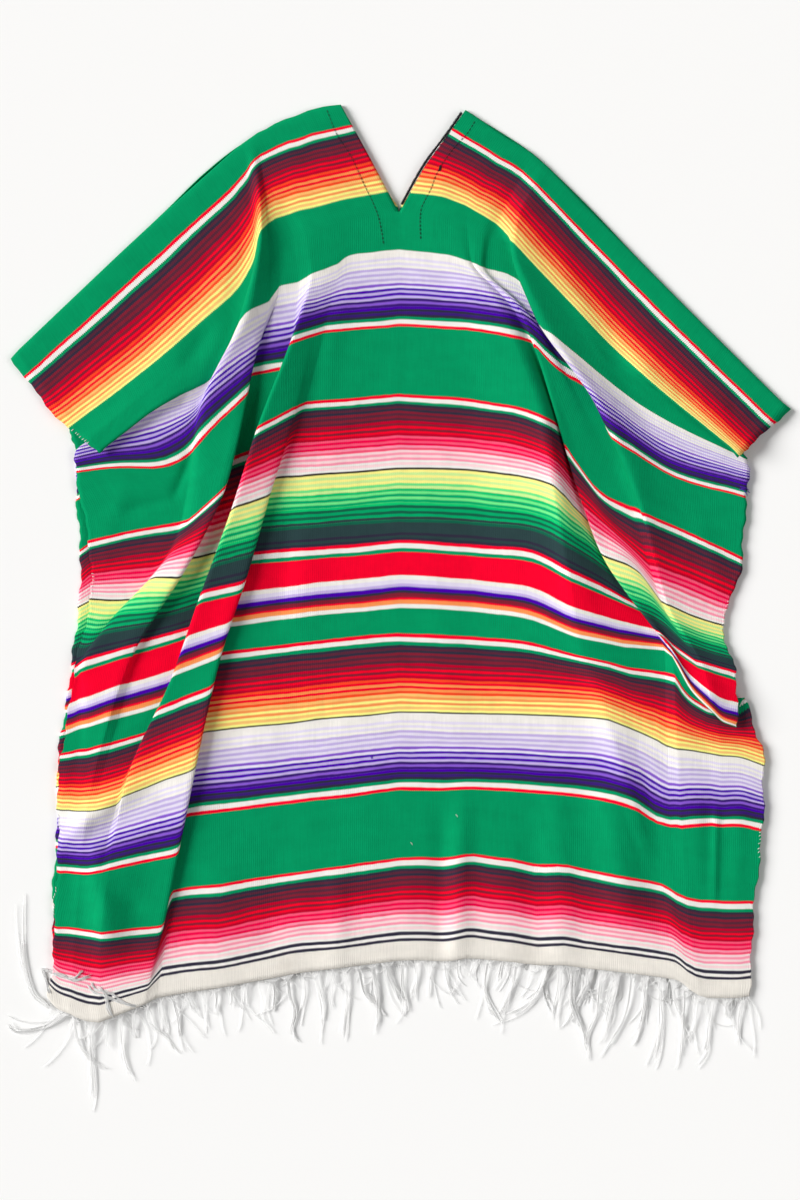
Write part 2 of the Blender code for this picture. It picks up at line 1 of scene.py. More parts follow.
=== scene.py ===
# %% [markdown]
# # A woven serape poncho, laid out flat
#
# A serape poncho is one hand-loomed wool blanket, about 1 metre wide and 2 metres long. It is folded
# over at the shoulders, a neck slit is cut down its middle, and the warp threads are left at both hems
# as a fringe. Here it lies on a table with its front up and its cloth pulled down at the sleeves.
#
# The imported model is the frame that every piece has to fit, so it is loaded first.

# %% Load the imported model
import math
import random

import bmesh
import bpy
import numpy as np
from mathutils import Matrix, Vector
from mathutils.bvhtree import BVHTree


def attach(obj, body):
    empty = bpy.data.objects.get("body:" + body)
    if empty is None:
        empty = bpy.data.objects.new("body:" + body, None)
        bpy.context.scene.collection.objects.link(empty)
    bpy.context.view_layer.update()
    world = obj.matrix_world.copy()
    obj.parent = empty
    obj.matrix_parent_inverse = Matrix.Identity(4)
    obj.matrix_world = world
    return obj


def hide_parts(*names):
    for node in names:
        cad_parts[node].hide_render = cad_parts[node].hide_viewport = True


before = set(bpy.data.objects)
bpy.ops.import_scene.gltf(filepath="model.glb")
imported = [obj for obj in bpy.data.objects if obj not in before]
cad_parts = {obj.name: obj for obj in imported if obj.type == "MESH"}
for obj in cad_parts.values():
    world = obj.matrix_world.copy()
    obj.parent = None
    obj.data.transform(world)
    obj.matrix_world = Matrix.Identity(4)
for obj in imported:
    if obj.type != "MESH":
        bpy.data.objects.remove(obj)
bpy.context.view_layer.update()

# %% [markdown]
# ## Camera, table and light
#
# The poncho was photographed from straight above with a long lens, so nothing narrows towards the
# edges. The frame takes in 0.92 by 1.38 metres of the table. A large soft lamp stands low at the left,
# so the right side of every fold is dark and its shadow fills the valley beside it. A weaker lamp at the
# right and the pale room keep the shadows from turning black.

# %% One helper that adds an object
def add_object(name, data):
    """A new object in the scene."""
    thing = bpy.data.objects.new(name, data)
    bpy.context.scene.collection.objects.link(thing)
    return thing


# %% Camera
MM = 0.001
FRAME_HEIGHT = 1380.0            # millimetres of table from the top of the picture to its bottom
FRAME_MIDDLE = (7.04, 8.61)      # middle of the picture, in millimetres from the middle of the poncho
USUAL_LIFT = 6.0                 # most of the front lies this high above the table
LENS = 100.0
SENSOR = 36.0

camera_data = bpy.data.cameras.new("Camera above the table")
camera_data.lens = LENS
camera_data.sensor_width = SENSOR
camera = add_object("Camera above the table", camera_data)
camera_height = FRAME_HEIGHT * LENS / SENSOR + USUAL_LIFT
camera.location = (FRAME_MIDDLE[0] * MM, FRAME_MIDDLE[1] * MM, camera_height * MM)
bpy.context.scene.camera = camera
print("camera stands", round(camera_height * MM, 3), "metres above the table")

# %% A colour given as a hex value, as light
def linear(hex_colour):
    """Turn an sRGB hex value into the linear colour that a shader needs."""
    channels = [int(hex_colour[i:i + 2], 16) / 255.0 for i in (1, 3, 5)]
    light = [c / 12.92 if c <= 0.04045 else ((c + 0.055) / 1.055) ** 2.4 for c in channels]
    return (*light, 1.0)


print("the blanket's green as light:", [round(c, 3) for c in linear("#009663")])

# %% One helper that adds a shader node
COLOURS = {"data_type": "RGBA"}
ADD, SUBTRACT, MULTIPLY, DIVIDE, MULTIPLY_ADD, GREATER_THAN, LESS_THAN, SINE, FRACT = (
    {"operation": name} for name in
    ("ADD", "SUBTRACT", "MULTIPLY", "DIVIDE", "MULTIPLY_ADD", "GREATER_THAN", "LESS_THAN", "SINE", "FRACT"))


def add_node(tree, kind, settings=None, *inputs, **links):
    """Add a node and its settings. Its inputs are given in order, by name, or by number (as in_6)."""
    node = tree.nodes.new("ShaderNode" + kind)
    for name, value in (settings or {}).items():
        setattr(node, name, value)
    sockets = list(zip(node.inputs, inputs))
    for name, value in links.items():
        named = node.inputs[int(name[3:])] if name.startswith("in_") else node.inputs[name.replace("_", " ")]
        sockets.append((named, value))
    for socket, value in sockets:
        if isinstance(value, bpy.types.Node):
            value = value.outputs[0]
        if isinstance(value, bpy.types.NodeSocket):
            tree.links.new(value, socket)
        else:
            socket.default_value = value
    return node


def new_finish(name):
    """A new material, with its node tree and its shader."""
    finish = bpy.data.materials.new(name)
    finish.use_nodes = True
    tree = finish.node_tree
    shader = tree.nodes["Principled BSDF"]
    return finish, tree, shader


print("helpers are ready")

# %% Table and lamps
LAMP_SPREAD = 34.0               # degrees that a lamp takes up, seen from the table: it softens the shadows
ROOM_LIGHT = 0.19                # strength of the light that comes from all sides
TABLE_DEPTH = 0.4                # the table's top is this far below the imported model, in millimetres
TABLE_REACH = 3.0                # metres from the table's middle to its edges


def soft_lamp(name, direction, energy):
    """A large, distant lamp that shines in one direction."""
    data = bpy.data.lights.new(name, "SUN")
    data.angle = math.radians(LAMP_SPREAD)
    data.energy = energy
    data.color = linear("#fffefc")[:3]
    add_object(name, data).rotation_euler = Vector(direction).to_track_quat("-Z", "Y").to_euler()


soft_lamp("Right lamp", (-1.0, 0.3, -0.9), 0.7)
soft_lamp("Left lamp", (1.0, -0.25, -0.64), 4.2)

room = bpy.data.worlds.new("Pale room")
room.use_nodes = True
background = room.node_tree.nodes["Background"]
background.inputs["Color"].default_value = linear("#ffffff")
background.inputs["Strength"].default_value = ROOM_LIGHT
bpy.context.scene.world = room
bpy.context.scene.view_settings.view_transform = "Standard"

# A matt paint spreads the light evenly, so the table shows no gleam beside the cloth
table_paint, tree, shader = new_finish("Matt white table paint")
speckle = add_node(tree, "TexNoise", Scale=900.0, Detail=2.0)
grain = add_node(tree, "Bump", Strength=0.02, Distance=0.0002, Height=speckle)
tree.links.new(grain.outputs["Normal"], shader.inputs["Normal"])
shader.inputs["Base Color"].default_value = linear("#f6f6f6")
shader.inputs["Roughness"].default_value = 0.8

table_mesh = bmesh.new()
bmesh.ops.create_grid(table_mesh, x_segments=8, y_segments=8, size=TABLE_REACH)
table_data = bpy.data.meshes.new("Table")
table_mesh.to_mesh(table_data)
table_mesh.free()
table_data.materials.append(table_paint)
table = add_object("Table", table_data)
table.location.z = -TABLE_DEPTH * MM
print("table and lamps are in place")

# %% [markdown]
# ## How the cloth lies
#
# On the real poncho the middle hangs straight while the cloth of the sleeves is pulled down, so long
# folds run from the shoulders to the sides and lap over each other. A simulation could drop the cloth,
# but it wouldn't find these very folds. So the cloth is laid by measure, as a tailor would chalk it:
# named lines run down the cloth, and a row for each tells where it crosses the table at every section.
# Places are (across, down) in millimetres from the middle of the neck at the shoulder.

# %% Sizes of the cloth
WALL = 1.5                       # thickness of the woven cloth
SEAM_GAP = 0.3                   # gap between neighbouring pieces
SLIT = 140.0                     # length of the neck slit below the shoulder fold
MIDDLE = (-7.04, 593.96)         # centre of the laid-out poncho, from the middle of the neck
BACK_LEVEL = 0.75                # height of the middle of the back's wall
FOLD_LEVEL = 2.6                 # height at which front and back meet along the shoulder fold
SECTIONS = (0, 115, 177, 236, 353, 434, 524, 592, 696, 885, 1000)
print("cloth from the shoulder to the front hem:", SECTIONS[-1], "mm in", len(SECTIONS) - 1, "sections")

# %% Lines down the left of the front
LEFT_LINES = {
    "main": ((-86, 18), (-63, 125), (-57, 184), (-65, 242), (-69, 359), (-71, 440), (-75, 529),
             (-77, 598), (-79, 703), (-92, 898), (-86, 1011)),
    "main_edge": ((-106, 23), (-86, 131), (-71, 194), (-80, 245), (-110, 363), (-141, 445), (-169, 537),
                  (-196, 613), (-225, 719), (-261, 922), (-279, 1043)),
    "middle_right": ((-120, 29), (-101, 135), (-85, 200), (-97, 251), (-122, 369), (-152, 466), (-182, 570),
                     (-208, 649), (-233, 760), (-274, 961), (-295, 1051)),
    "middle_left": ((-133, 33), (-115, 138), (-101, 206), (-112, 255), (-162, 391), (-190, 480), (-227, 582),
                    (-258, 669), (-312, 792), (-342, 968), (-346, 1071)),
    "valley_right": ((-144, 38), (-129, 143), (-117, 214), (-124, 281), (-171, 419), (-205, 529), (-242, 622),
                     (-273, 703), (-321, 804), (-353, 967), (-359, 1070)),
    "valley_left": ((-154, 44), (-143, 147), (-138, 219), (-161, 288), (-194, 426), (-230, 536), (-297, 638),
                    (-322, 718), (-347, 812), (-366, 966), (-373, 1065)),
    "left_right": ((-163, 48), (-153, 154), (-150, 236), (-167, 307), (-204, 462), (-256, 560), (-306, 642),
                   (-334, 721), (-357, 813), (-373, 965), (-380, 1061)),
    "left_left": ((-173, 55), (-160, 164), (-177, 252), (-222, 352), (-245, 498), (-284, 560), (-361, 659),
                  (-359, 729), (-370, 814), (-384, 964), (-391, 1057)),
    "under_wing": ((-183, 62), (-170, 204), (-205, 317), (-235, 371), (-255, 501), (-306, 585), (-368, 663),
                   (-368, 731), (-380, 813), (-389, 964), (-397, 1053)),
    "wing": ((-296, 163), (-276, 307), (-278, 360), (-293, 397), (-305, 509), (-331, 587), (-372, 666),
             (-376, 734), (-386, 813), (-393, 964), (-401, 1049)),
    "selvedge": ((-449, 308), (-381, 388), (-348, 415), (-374, 420), (-359, 522), (-355, 585), (-375, 668),
                 (-386, 737), (-393, 812), (-397, 963), (-406, 1043)),
}
print("lines down the left:", ", ".join(LEFT_LINES))

# %% Lines down the right of the front
RIGHT_LINES = {
    "main": ((92, 33), (46, 121), (55, 184), (69, 240), (75, 359), (76, 436), (78, 528),
             (81, 596), (83, 699), (85, 882), (86, 999)),
    "main_edge": ((106, 43), (64, 127), (74, 190), (113, 246), (162, 382), (176, 457), (196, 559),
                  (207, 627), (234, 704), (302, 915), (320, 1023)),
    "valley": ((118, 51), (76, 132), (81, 192), (129, 250), (186, 391), (216, 495), (273, 593),
               (304, 641), (306, 735), (318, 925), (334, 1034)),
    "right_left": ((129, 58), (86, 138), (86, 194), (138, 253), (193, 414), (235, 536), (299, 624),
                   (313, 649), (318, 739), (330, 930), (344, 1040)),
    "right_crease": ((140, 64), (98, 145), (92, 197), (150, 261), (232, 467), (269, 550), (316, 641),
                     (334, 687), (337, 744), (346, 933), (356, 1043)),
    "under_sleeve": ((152, 72), (112, 154), (98, 199), (159, 271), (267, 485), (300, 588), (340, 658),
                     (352, 706), (355, 748), (362, 934), (366, 1043)),
    "sleeve": ((167, 85), (131, 177), (169, 273), (233, 367), (282, 491), (308, 592), (347, 660),
               (359, 713), (368, 751), (372, 935), (374, 1043)),
    "wing": ((308, 228), (265, 314), (286, 364), (313, 419), (334, 513), (339, 605), (366, 666),
             (370, 723), (388, 753), (389, 935), (386, 1043)),
    "selvedge": ((447, 366), (392, 420), (399, 423), (400, 445), (394, 541), (370, 615), (388, 672),
                 (385, 729), (420, 762), (409, 935), (400, 1041)),
}
print("lines down the right:", ", ".join(RIGHT_LINES))

# %% How high each line lies
STATIONS = (0, 177, 353, 524, 696, 1000)
LEFT_LIFT = {
    "main": (5, 7, 7, 6, 6, 5),
    "main_edge": (5, 8, 8, 6, 5, 5),
    "middle_right": (5, 9, 13, 14, 14, 7),
    "middle_left": (5, 10, 20, 17, 11, 7),
    "valley_right": (5, 8, 6, 6, 8, 6),
    "valley_left": (5, 8, 6, 6, 8, 6),
    "left_right": (5, 10, 19, 12, 9, 6),
    "left_left": (5, 18, 13, 9, 7, 5),
    "under_wing": (5, 7, 6, 6, 6, 5),
    "wing": (5, 7, 6, 5, 6, 5),
    "selvedge": (5, 6, 5, 5, 5, 4.5),
}
RIGHT_LIFT = {
    "main": (5, 8, 7, 6, 6, 5),
    "main_edge": (5, 9, 16, 14, 9, 6),
    "valley": (5, 8, 6, 6, 8, 6),
    "right_left": (5, 9, 13, 12.5, 10, 6),
    "right_crease": (5, 9, 11, 9, 9, 5),
    "under_sleeve": (5, 6, 9, 10, 8, 5),
    "sleeve": (5, 19, 13, 10, 8, 5),
    "wing": (5, 7, 8, 7, 7, 5),
    "selvedge": (5, 6, 5, 5, 6, 4.5),
}
CENTRE_LIFT = (5, 5, 6, 6, 6, 5)
print("highest line:", max(max(row) for row in LEFT_LIFT.values()), "mm above the table")

# %% [markdown]
# Two kinds of fold lap the cloth over itself. The long ones run down it: the lower panel reaches under
# the upper one, turns round and comes back as the upper panel's rounded edge. The others run across it
# below each sleeve and at the right side, and open towards the selvedge, which takes up the cloth that
# the sleeve has let down.

# %% Folds that run down the cloth
REACH_STATIONS = (0, 177, 353, 524, 592, 1000)
LEFT_FOLDS = (
    {"inner": "main_edge", "outer": "middle_right", "over": 1, "reach": (0, 0, 3, 13, 15, 0)},
    {"inner": "middle_left", "outer": "valley_right", "over": -1, "reach": (0, 2, 13, 10, 5, 0)},
    {"inner": "valley_left", "outer": "left_right", "over": 1, "reach": (0, 0, 11, 5, 0, 0)},
)
RIGHT_FOLDS = (
    {"inner": "valley", "outer": "right_left", "over": 1, "reach": (0, 0, 9, 8, 0, 0)},
    {"inner": "under_sleeve", "outer": "sleeve", "over": 1, "reach": (0, 18, 5, 0, 0, 0)},
)
# Columns inside a fold, from the lower line to the upper one: share of the reach, share of the height
FOLD_TURN = ((0.75, 0.03), (1.0, 0.14), (1.0, 0.37), (0.75, 0.47))
NOSE = 2.0                       # how far a fold's rounded edge stands out over the lower cloth
NOSE_HEIGHT = 0.82               # and at which share of its height
FOLDS_FROM = 80.0                # the long folds start this far below the shoulder
FOLDS_GROW = 95.0                # and are full this much further down
FULL_REACH = 12.0                # a lap of this depth has fully turned over
NEARBY = 8.0                     # a line's direction is taken from this far above to this far below
print("deepest lap of a long fold:", max(max(fold["reach"]) for fold in LEFT_FOLDS + RIGHT_FOLDS), "mm")

# %% Folds that run across the cloth
# For each side (-1 is left): the section where the fold is, the line it starts from and its height
CROSS_FOLDS = {
    -1: ({"section": 2, "from": "under_wing", "height": 7.5},),
    1: ({"section": 1, "from": "sleeve", "height": 7.5},
        {"section": 7, "from": "right_left", "height": 7.0}),
}
FASTEST = 50.0                   # cloth that such a fold can take up over its full length
LEAST_HIDDEN = 30.0              # cloth taken up by the rows of a cross fold where it is still flat
RISEN = 10.0                     # a fold with this much cloth in it has risen to its height
TURN_FROM = 3.0                  # it starts to turn over when it holds this much cloth
TURN_OVER = 36.0                 # and has turned over with this much more
LIFT_FADE = 30.0                 # the cloth above it sinks back over this distance
ABOVE = 12.0                     # the cloth's direction is taken this far above the fold
BELOW = 50.0                     # and this far below it
CROSS_SECTIONS = (1, 2, 7)       # the sections with such a fold on either side
# Rows inside such a fold, from its upper edge to its lower one: share of the reach, of the height,
# and of the way across from the upper edge to the lower one
CROSS_TURN = ((0.0, 0.84, 0.0), (0.65, 0.52, 0.2), (1.0, 0.42, 0.5), (1.0, 0.16, 0.5), (0.65, 0.05, 0.8),
              (0.0, 0.0, 1.0))
print("folds across:", sum(len(folds) for folds in CROSS_FOLDS.values()))

# %% Rows, panels and the neck slit
# Rows in each section without a fold across, as shares of the way to the next section
PLAIN_ROWS = {0: (0.0, 0.015, 0.05, 0.35, 0.7), 3: (0.0, 0.34, 0.67), 4: (0.0, 0.5), 5: (0.0, 0.5),
              6: (0.0, 0.5), 8: (0.0, 0.5), 9: (0.0, 0.5, 1.0)}
# Lines of each panel, from the middle outwards, and the number of steps between its columns
LEFT_PANELS = (("centre", "main", "main_edge"), ("middle_right", "middle_left"),
               ("valley_right", "valley_left"),
               ("left_right", "left_left", "under_wing", "wing", "selvedge"))
LEFT_COUNTS = (4, 2, 1, 9)
RIGHT_PANELS = (("centre", "main", "main_edge", "valley"), ("right_left", "right_crease", "under_sleeve"),
                ("sleeve", "wing", "selvedge"))
RIGHT_COUNTS = (6, 5, 7)
# Edges of the slit: how far down the cloth, and the place on the table (across, down)
LEFT_SLIT = ((0, -68, 16), (70, -36, 74), (140, -1, 140))
RIGHT_SLIT = ((0, 75, 22), (35, 57, 48), (80, 29, 86), (140, -1, 140))
print("panels:", len(LEFT_PANELS), "left of the middle and", len(RIGHT_PANELS), "right of it")

# %% The back lies smooth under the front
BACK_SECTIONS = (0, 115, 236, 434, 560, 696, 985)
BACK_LEFT = {
    "inner": ((-86, 18), (-66, 122), (-72, 240), (-85, 440), (-93, 565), (-100, 702), (-110, 990)),
    "middle": ((-183, 62), (-150, 165), (-165, 290), (-185, 480), (-198, 605), (-210, 735), (-225, 1002)),
    "outer": ((-296, 163), (-262, 262), (-270, 365), (-285, 535), (-296, 655), (-303, 770), (-318, 1020)),
    "selvedge": ((-449, 308), (-384, 380), (-372, 440), (-369, 590), (-384, 690), (-394, 790), (-401, 1030)),
}
BACK_RIGHT = {
    "inner": ((92, 33), (56, 122), (62, 240), (75, 440), (82, 566), (88, 700), (100, 987)),
    "middle": ((152, 72), (125, 175), (140, 300), (165, 480), (178, 605), (190, 730), (210, 997)),
    "outer": ((308, 228), (268, 310), (275, 385), (285, 545), (290, 645), (300, 765), (315, 1012)),
    "selvedge": ((447, 366), (393, 412), (392, 470), (372, 590), (353, 660), (396, 780), (397, 1020)),
}
# Rows down the back's cloth, in millimetres, which are closest beside the shoulder fold
BACK_ROWS = (0, 1.7, 5.8, 60, 115, 140, 188, 236, 335, 434, 497, 560, 628, 696, 792, 888, 985)
BACK_COLUMNS = 10
BACK_TURN = 0.6                  # how far the back's wall has bent up beside the shoulder fold
FRONT_TURN = 1.4                 # and the front's
print("the back reaches", BACK_SECTIONS[-1], "mm down, and is", 2 * BACK_COLUMNS, "columns wide")

# %% [markdown]
# ## Laying the cloth
#
# A curve through the measured places has to stay between them, or the cloth would wave where it lies
# flat. So each curve's slopes are the harmonic means of its steps, which never overshoot.

# %% Smooth curves
def smoothstep(value):
    """Ease from 0 to 1."""
    value = np.clip(value, 0.0, 1.0)
    return value * value * (3.0 - 2.0 * value)


def slopes(knots, values):
    """Slopes of a smooth curve through the values that never overshoots them."""
    steps = [(values[i + 1] - values[i]) / (knots[i + 1] - knots[i]) for i in range(len(knots) - 1)]
    result = [steps[0]]
    for before, after in zip(steps, steps[1:]):
        result.append(0.0 if before * after <= 0.0 else 2.0 * before * after / (before + after))
    result.append(steps[-1])
    return result


def curve_at(knots, values, at):
    """Value at one place on the smooth curve through the knots."""
    at = min(knots[-1], max(knots[0], at))
    index = max(i for i in range(len(knots) - 1) if knots[i] <= at)
    width = knots[index + 1] - knots[index]
    along = (at - knots[index]) / width
    slope = slopes(knots, values)
    rise = values[index + 1] - values[index]
    start, end = slope[index] * width, slope[index + 1] * width
    return (values[index] + start * along + (3 * rise - 2 * start - end) * along ** 2
            + (start + end - 2 * rise) * along ** 3)


def curve_place(knots, places, at):
    """Coordinates of one place on the smooth curve through several places."""
    return [curve_at(knots, axis, at) for axis in zip(*places)]


def even_knots(count):
    """Knots spread evenly from 0 to 1."""
    return [i / (count - 1) for i in range(count)]


print("halfway up a soft step:", float(smoothstep(0.5)))

# %% A line of the cloth
class Line:
    """One line down the cloth, with its place on the table and its height."""

    def __init__(self, places, lift):
        self.places = places
        self.lift = lift

    def place(self, cloth):
        """Place on the table at a distance down the cloth."""
        return Vector(curve_place(SECTIONS, self.places, cloth))

    def height(self, cloth):
        """Height at a distance down the cloth."""
        return curve_at(STATIONS, self.lift, cloth)


class CentreLine(Line):
    """The middle line: the edge of the neck slit above its end, and straight down below it."""

    def __init__(self, side):
        edge = LEFT_SLIT if side < 0 else RIGHT_SLIT
        super().__init__([row[1:] for row in edge], CENTRE_LIFT)
        self.knots = [row[0] for row in edge]

    def place(self, cloth):
        """Place on the table, along the slit's edge and then straight down."""
        if cloth >= SLIT:
            return Vector((self.places[-1][0], cloth))
        return Vector(curve_place(self.knots, self.places, cloth))


def lines_of(side):
    """All the lines of one half of the front, by name."""
    places, lifts = (LEFT_LINES, LEFT_LIFT) if side < 0 else (RIGHT_LINES, RIGHT_LIFT)
    lines = {name: Line(places[name], lifts[name]) for name in places}
    lines["centre"] = CentreLine(side)
    return lines


print("the slit ends at", tuple(CentreLine(1).place(SLIT)))

# %% Columns and rows of the laid cloth
def row_plan():
    """Rows as (section, fraction of the way to the next, step inside a cross fold or None)."""
    plan = []
    for section in range(len(SECTIONS) - 1):
        if section in CROSS_SECTIONS:
            rows = len(CROSS_TURN) + (2 if section == CROSS_SECTIONS[-1] else 1)
            plan += [(section, step / rows, step) for step in range(rows)]
        else:
            plan += [(section, fraction, None) for fraction in PLAIN_ROWS[section]]
    return plan


def column_plan(side):
    """Columns from the middle outwards, each one in a panel or inside a fold."""
    panels, counts = (LEFT_PANELS, LEFT_COUNTS) if side < 0 else (RIGHT_PANELS, RIGHT_COUNTS)
    folds = LEFT_FOLDS if side < 0 else RIGHT_FOLDS
    columns = []
    for number, (panel, count) in enumerate(zip(panels, counts)):
        columns += [{"panel": panel, "along": step / count} for step in range(count + 1)]
        if number < len(folds):
            turns = list(range(len(FOLD_TURN) + 1))
            if folds[number]["over"] < 0:
                turns.reverse()
            columns += [{"fold": folds[number], "turn": turn} for turn in turns]
    return columns


print("rows:", len(row_plan()), "columns:", len(column_plan(-1)), "and", len(column_plan(1)))

# %% A point of a panel, and a point inside a long fold
def panel_point(lines, column, cloth):
    """Point of a panel's column: a smooth curve through the panel's lines."""
    names = column["panel"]
    places = [(*lines[name].place(cloth), lines[name].height(cloth)) for name in names]
    return Vector(curve_place(even_knots(len(names)), places, column["along"]))


def fold_point(lines, column, cloth, side):
    """Point of a column inside a fold that runs down the cloth."""
    fold = column["fold"]
    inner, outer = lines[fold["inner"]], lines[fold["outer"]]
    low, high = (inner, outer) if fold["over"] > 0 else (outer, inner)
    reach = max(0.0, curve_at(REACH_STATIONS, fold["reach"], cloth))
    reach *= smoothstep((cloth - FOLDS_FROM) / FOLDS_GROW)
    strength = smoothstep(reach / FULL_REACH)
    turn = column["turn"]
    share = (turn + 1) / (len(FOLD_TURN) + 2)
    place = low.place(cloth).lerp(high.place(cloth), share)
    rise = high.height(cloth) - low.height(cloth)
    along = high.place(cloth + NEARBY) - high.place(cloth - NEARBY)
    under = Vector((along.y, -along.x)).normalized() * side * fold["over"]
    if under.x * side * fold["over"] < 0:
        under = -under
    push, level = FOLD_TURN[turn] if turn < len(FOLD_TURN) else (0.0, NOSE_HEIGHT)
    shift = under * (reach * push if turn < len(FOLD_TURN) else -NOSE)
    level = share + (level - share) * strength
    place = place + shift * strength
    return Vector((place.x, place.y, low.height(cloth) + rise * level))


def column_point(lines, column, cloth, side):
    """Point of any column before the cross folds."""
    if "panel" in column:
        return panel_point(lines, column, cloth)
    return fold_point(lines, column, cloth, side)


print("a point of the main panel:", [round(v) for v in panel_point(lines_of(1), column_plan(1)[3], 600)])

# %% A point inside a cross fold
def hidden_cloth(lines, column, fold, side):
    """Cloth that goes into a cross fold at a column."""
    start, end = SECTIONS[fold["section"]], SECTIONS[fold["section"] + 1]
    first, last = lines[fold["from"]].place(start), lines["selvedge"].place(start)
    point = column_point(lines, column, start, side)
    span = last - first
    share = (point.xy - first).dot(span) / span.dot(span)
    room = (column_point(lines, column, end, side) - point).xy.length
    return max(0.0, min(end - start - room, share * FASTEST))


def rise_share(hidden):
    """How far a cross fold has risen, from 0 where it is flat to 1."""
    return smoothstep(hidden / RISEN)


def turn_share(hidden):
    """How far a cross fold has turned over, from 0 where it is a soft step to 1."""
    return smoothstep((hidden - TURN_FROM) / TURN_OVER)


def cross_lift(hidden, fold, cloth):
    """Height that a cross fold adds to the cloth above it: full over its hidden cloth, then fading."""
    above = max(0.0, SECTIONS[fold["section"]] - cloth - 0.9 * hidden)
    return fold["height"] * rise_share(hidden) * math.exp(-above / LIFT_FADE)


def cross_cloth(section, step, hidden):
    """Distance down the cloth of one row inside a cross fold."""
    start, end = SECTIONS[section], SECTIONS[section + 1]
    taken = max(hidden, LEAST_HIDDEN)
    if step > len(CROSS_TURN):
        return (start + taken + end) / 2.0
    return start + taken * step / len(CROSS_TURN)


def cross_point(lines, column, fold, step, side, hidden):
    """Point at one row inside a cross fold."""
    start, end = SECTIONS[fold["section"]], SECTIONS[fold["section"] + 1]
    flat = column_point(lines, column, cross_cloth(fold["section"], step, hidden), side)
    turned = turn_share(hidden)
    edge = column_point(lines, column, start, side)
    after = column_point(lines, column, end, side)
    up_high = (column_point(lines, column, start - ABOVE, side) - edge).xy.normalized()
    up_low = (after - column_point(lines, column, end + BELOW, side)).xy.normalized()
    back = (edge - after).xy
    lower = after.xy + (up_low + back.normalized()).normalized() * back.length
    if step > len(CROSS_TURN):
        place = flat.xy.lerp((lower + after.xy) / 2.0, turned)
        return Vector((place.x, place.y, flat.z))
    push, level, along = (0.0, 1.0, 0.0) if step == 0 else CROSS_TURN[step - 1]
    place = edge.xy.lerp(lower, along)
    place = place + up_high.lerp(up_low, along) * hidden / 2.0 * push
    if step == 1:
        place -= up_high * NOSE
    place = flat.xy.lerp(place, turned)
    height = flat.z + (edge.z - flat.z) * turned + fold["height"] * level * rise_share(hidden)
    return Vector((place.x, place.y, height))


print("a cross fold with 20 mm hidden has risen by", round(float(rise_share(20.0)), 2), "of its height")

# %% The grid of the front
def front_point(lines, column, row, side, hidden):
    """(across, down, height, cloth) of the laid front at one column and row."""
    section, fraction, step = row
    folds = CROSS_FOLDS[side]
    active = next((fold for fold in folds if fold["section"] == section), None)
    if step is None:
        cloth = SECTIONS[section] + (SECTIONS[section + 1] - SECTIONS[section]) * fraction
    else:
        cloth = cross_cloth(section, step, hidden[section] if active else 0.0)
    if active:
        point = cross_point(lines, column, active, step, side, hidden[section])
    else:
        point = column_point(lines, column, cloth, side)
    for fold in folds:
        if fold is not active and cloth < SECTIONS[fold["section"]] + 0.01:
            point.z += cross_lift(hidden[fold["section"]], fold, cloth)
    return (*point, cloth)


def front_half(side):
    """Grid of one half of the front, from the middle outwards and from the shoulder to the hem."""
    rows, lines = row_plan(), lines_of(side)
    half = []
    for column in column_plan(side):
        hidden = {fold["section"]: hidden_cloth(lines, column, fold, side) for fold in CROSS_FOLDS[side]}
        points = [list(front_point(lines, column, row, side, hidden)) for row in rows]
        points[0][2] = FOLD_LEVEL + SEAM_GAP / 2
        points[1][:3] = (points[0][0], points[0][1], FOLD_LEVEL + FRONT_TURN)
        half.append(points)
    return np.array(half)


FRONT = {side: front_half(side) for side in (-1, 1)}
print("front grids:", FRONT[-1].shape, FRONT[1].shape)
print("highest point of the front:", round(max(half[..., 2].max() for half in FRONT.values()), 1), "mm")

# %% The grid of the back
def back_half(side):
    """Grid of one half of the back, flat on the table but for the bend up to the shoulder fold."""
    lines = (BACK_LEFT if side < 0 else BACK_RIGHT).values()
    centre = CentreLine(side)
    half = []
    for number in range(BACK_COLUMNS + 1):
        along = number / BACK_COLUMNS
        points = []
        for cloth in BACK_ROWS:
            places = [centre.place(cloth)]
            places += [Vector(curve_place(BACK_SECTIONS, line, cloth)) for line in lines]
            points.append(curve_place(even_knots(len(places)), places, along) + [BACK_LEVEL, cloth])
        points[0][2] = FOLD_LEVEL - SEAM_GAP / 2
        points[1][:3] = (points[0][0], points[0][1], BACK_LEVEL + BACK_TURN)
        half.append(points)
    return np.array(half)


BACK = {side: back_half(side) for side in (-1, 1)}
print("back grid:", BACK[-1].shape)
